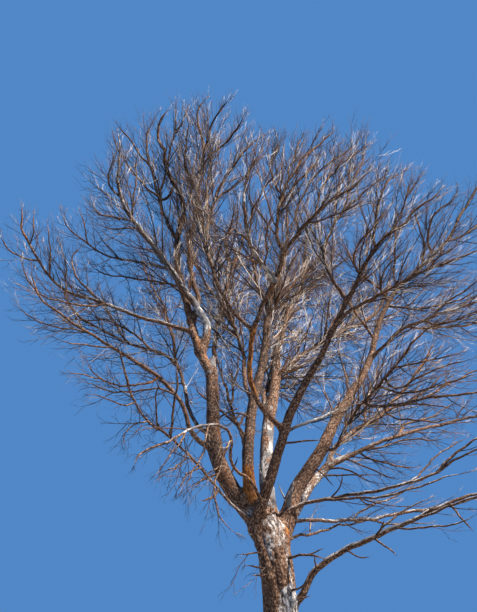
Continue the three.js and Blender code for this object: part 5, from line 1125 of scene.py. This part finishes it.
for name, t, mass, lift, long, length in small:
    p = courses[name]
    here, ahead = along(p, t), unit(along(p, np.minimum(t + 0.02, 1)) - along(p, np.maximum(t - 0.02, 0)))
    tip = t > 0.945
    first, out, sidew = sprout(t, here, ahead, lift, (0.5, 1.0), tip, grow_rng)
    L = np.clip(np.minimum(SHOOT_LONG * long * (1.1 - 0.35 * t) * grow_rng.lognormal(0, 0.28, len(t)), 0.08 + 0.6 * (1 - t) * length), 0.08, 0.9)
    thick = np.interp(t, np.linspace(0, 1, len(radii_of[name])), radii_of[name])
    Q0.append(here), E0.append(first), W0.append(unit(ahead * 0.8 + UP * (0.5 * lift) + out * 0.15 + sidew * 0.24)), M0.append(L)
    B0.append(np.minimum(thick * 0.6, SHOOT_RADIUS * (0.6 + 0.5 * L / SHOOT_LONG)))
    C0.append(np.maximum(grow_rng.choice(4, len(t), p=[0.11, 0.15, 0.30, 0.44]), 1 if mass in GREYER else 0)), F0.append(np.full(len(t), lift)), G0.append(np.full(len(t), MASSES.index(mass)))
Q0, E0, W0, M0, B0, C0, F0, G0 = (np.concatenate(x) for x in (Q0, E0, W0, M0, B0, C0, F0, G0))
C0 = darker(C0, G0, Q0[:, 2], tip_rng)
hung = np.isin(G0, [MASSES.index("front_hanging"), MASSES.index("front_left_low")]) & (tip_rng.random(len(G0)) < 0.6)
C0 = np.where(hung, 3, C0)
shoots = grow(Q0, E0, W0, M0, 2, 0.10, grow_rng)

# twigs on the shoots, to either side by turns
per = np.maximum(2, (M0 / TWIG_GAP + 0.5).astype(int))
owner = np.repeat(np.arange(len(M0)), per)
place = np.clip(np.concatenate([(np.arange(k) + 0.8) / (k + 0.4) for k in per]) + grow_rng.normal(0, 0.02, len(owner)), 0.06, 0.99)
x = place * 2
i = np.minimum(x.astype(int), 1)
f = (x - i)[:, None]
here = shoots[owner, i] * (1 - f) + shoots[owner, i + 1] * f
ahead = unit(shoots[owner, i + 1] - shoots[owner, i])
flat = unit(np.cross(ahead, unit(grow_rng.normal(0, 0.35, (len(M0), 3)) + UP)[owner]))
turn_side = np.where(np.concatenate([np.arange(k) for k in per]) % 2, 1.0, -1.0)[:, None]
lean = flat * turn_side + grow_rng.normal(0, 0.45, (len(owner), 3)) + UP * (0.35 * F0[owner])[:, None]
lean = unit(lean - ahead * np.sum(lean * ahead, 1)[:, None])
angle = grow_rng.uniform(0.35, 0.80, len(owner))
first = unit(ahead * np.cos(angle)[:, None] + lean * np.sin(angle)[:, None])
pull = unit(ahead * 0.9 + lean * 0.25 + UP * (0.40 * F0[owner])[:, None])
L = np.clip(TWIG_LONG * (1.3 - 0.8 * place) * (0.55 + 0.45 * M0[owner] / SHOOT_LONG) * grow_rng.lognormal(0, 0.28, len(owner)), 0.05, 0.32)
twigs = grow(here, unit(first + pull * 0.6), pull, L, 1, 0.06, grow_rng)

# nothing grows past the crown's own edge
lo = np.array(first_lo) - 0.015 * (np.array(first_hi) - np.array(first_lo))
hi = np.array(first_hi) + 0.015 * (np.array(first_hi) - np.array(first_lo))
inside = lambda lines: ((lines > lo) & (lines < hi)).all((1, 2))
keep_side, keep_shoot = inside(sides), inside(shoots)
keep = inside(twigs) & keep_shoot[owner]
T0 = np.minimum(TWIG_RADIUS * (0.8 + 0.35 * L / TWIG_LONG), B0[owner] * 0.8)
for k, mass in enumerate(MASSES):
    V, Q, T, MQ, MT, base = [], [], [], [], [], 0
    for t in range(len(TONES)):
        a = keep_side & (TONE == t) & (MASS == k)
        b = keep_shoot & (C0 == t) & (G0 == k)
        c = keep & (C0[owner] == t) & (G0[owner] == k)
        for lines, r0, r1, n_sides in ((sides[a], R0[a], np.full(a.sum(), TWIG_RADIUS), 4), (shoots[b], B0[b], np.full(b.sum(), TWIG_RADIUS * 0.55), 3),
                                       (twigs[c], T0[c], np.full(c.sum(), TWIG_RADIUS * 0.35), 3)):
            v, f, e = thread(lines, r0, r1, n_sides)
            V.append(v), Q.append(f + base), T.append(e + base)
            MQ.append(np.full(len(f), t)), MT.append(np.full(len(e), t))
            base += len(v)
    ob = add_mesh(mass + "_twigs", np.vstack(V), [np.vstack(Q), np.vstack(T)], TONES, (), np.concatenate(MQ + MT))
    finish_piece(ob, "twigs", mass)
COUNTS = (len(sides), len(shoots), len(twigs))


# ---------------------------------------------------------------- floor, light and camera
me = bpy.data.meshes.new("floor")
me.from_pydata([(-25, -25, 0), (25, -25, 0), (25, 25, 0), (-25, 25, 0)], [], [(0, 1, 2, 3)])
floor = bpy.data.objects.new("floor", me)
bpy.context.scene.collection.objects.link(floor)
fm, nt, bsdf = new_material("floor_pale")
bsdf.inputs["Base Color"].default_value = (0.20, 0.196, 0.188, 1)
bsdf.inputs["Roughness"].default_value = 0.95
me.materials.append(fm)

world = bpy.data.worlds.new("studio")
bpy.context.scene.world = world
world.use_nodes = True
bg = world.node_tree.nodes["Background"]
bg.inputs["Color"].default_value = (0.098, 0.287, 0.665, 1)
bg.inputs["Strength"].default_value = 0.85
bpy.context.scene.view_settings.view_transform = "Standard"

sun = bpy.data.lights.new("key", "SUN")
sun.energy = 15.4
sun.angle = math.radians(4)
sun.color = (1.0, 0.94, 0.86)
key = bpy.data.objects.new("key", sun)
bpy.context.scene.collection.objects.link(key)
from mathutils import Vector

key.rotation_mode = "QUATERNION"
key.rotation_quaternion = (-Vector((0.50, -0.34, 0.80))).to_track_quat("-Z", "Y")

cam = bpy.data.cameras.new("camera")
cam.sensor_width = 36.0
cam.lens = 36.0 * 721.0 / 612.0
cam.clip_end = 500
camera = bpy.data.objects.new("camera", cam)
bpy.context.scene.collection.objects.link(camera)
camera.location = (-0.97, -13.0, 1.6)
camera.rotation_euler = (math.radians(90 + 33), 0, 0)
bpy.context.scene.camera = camera
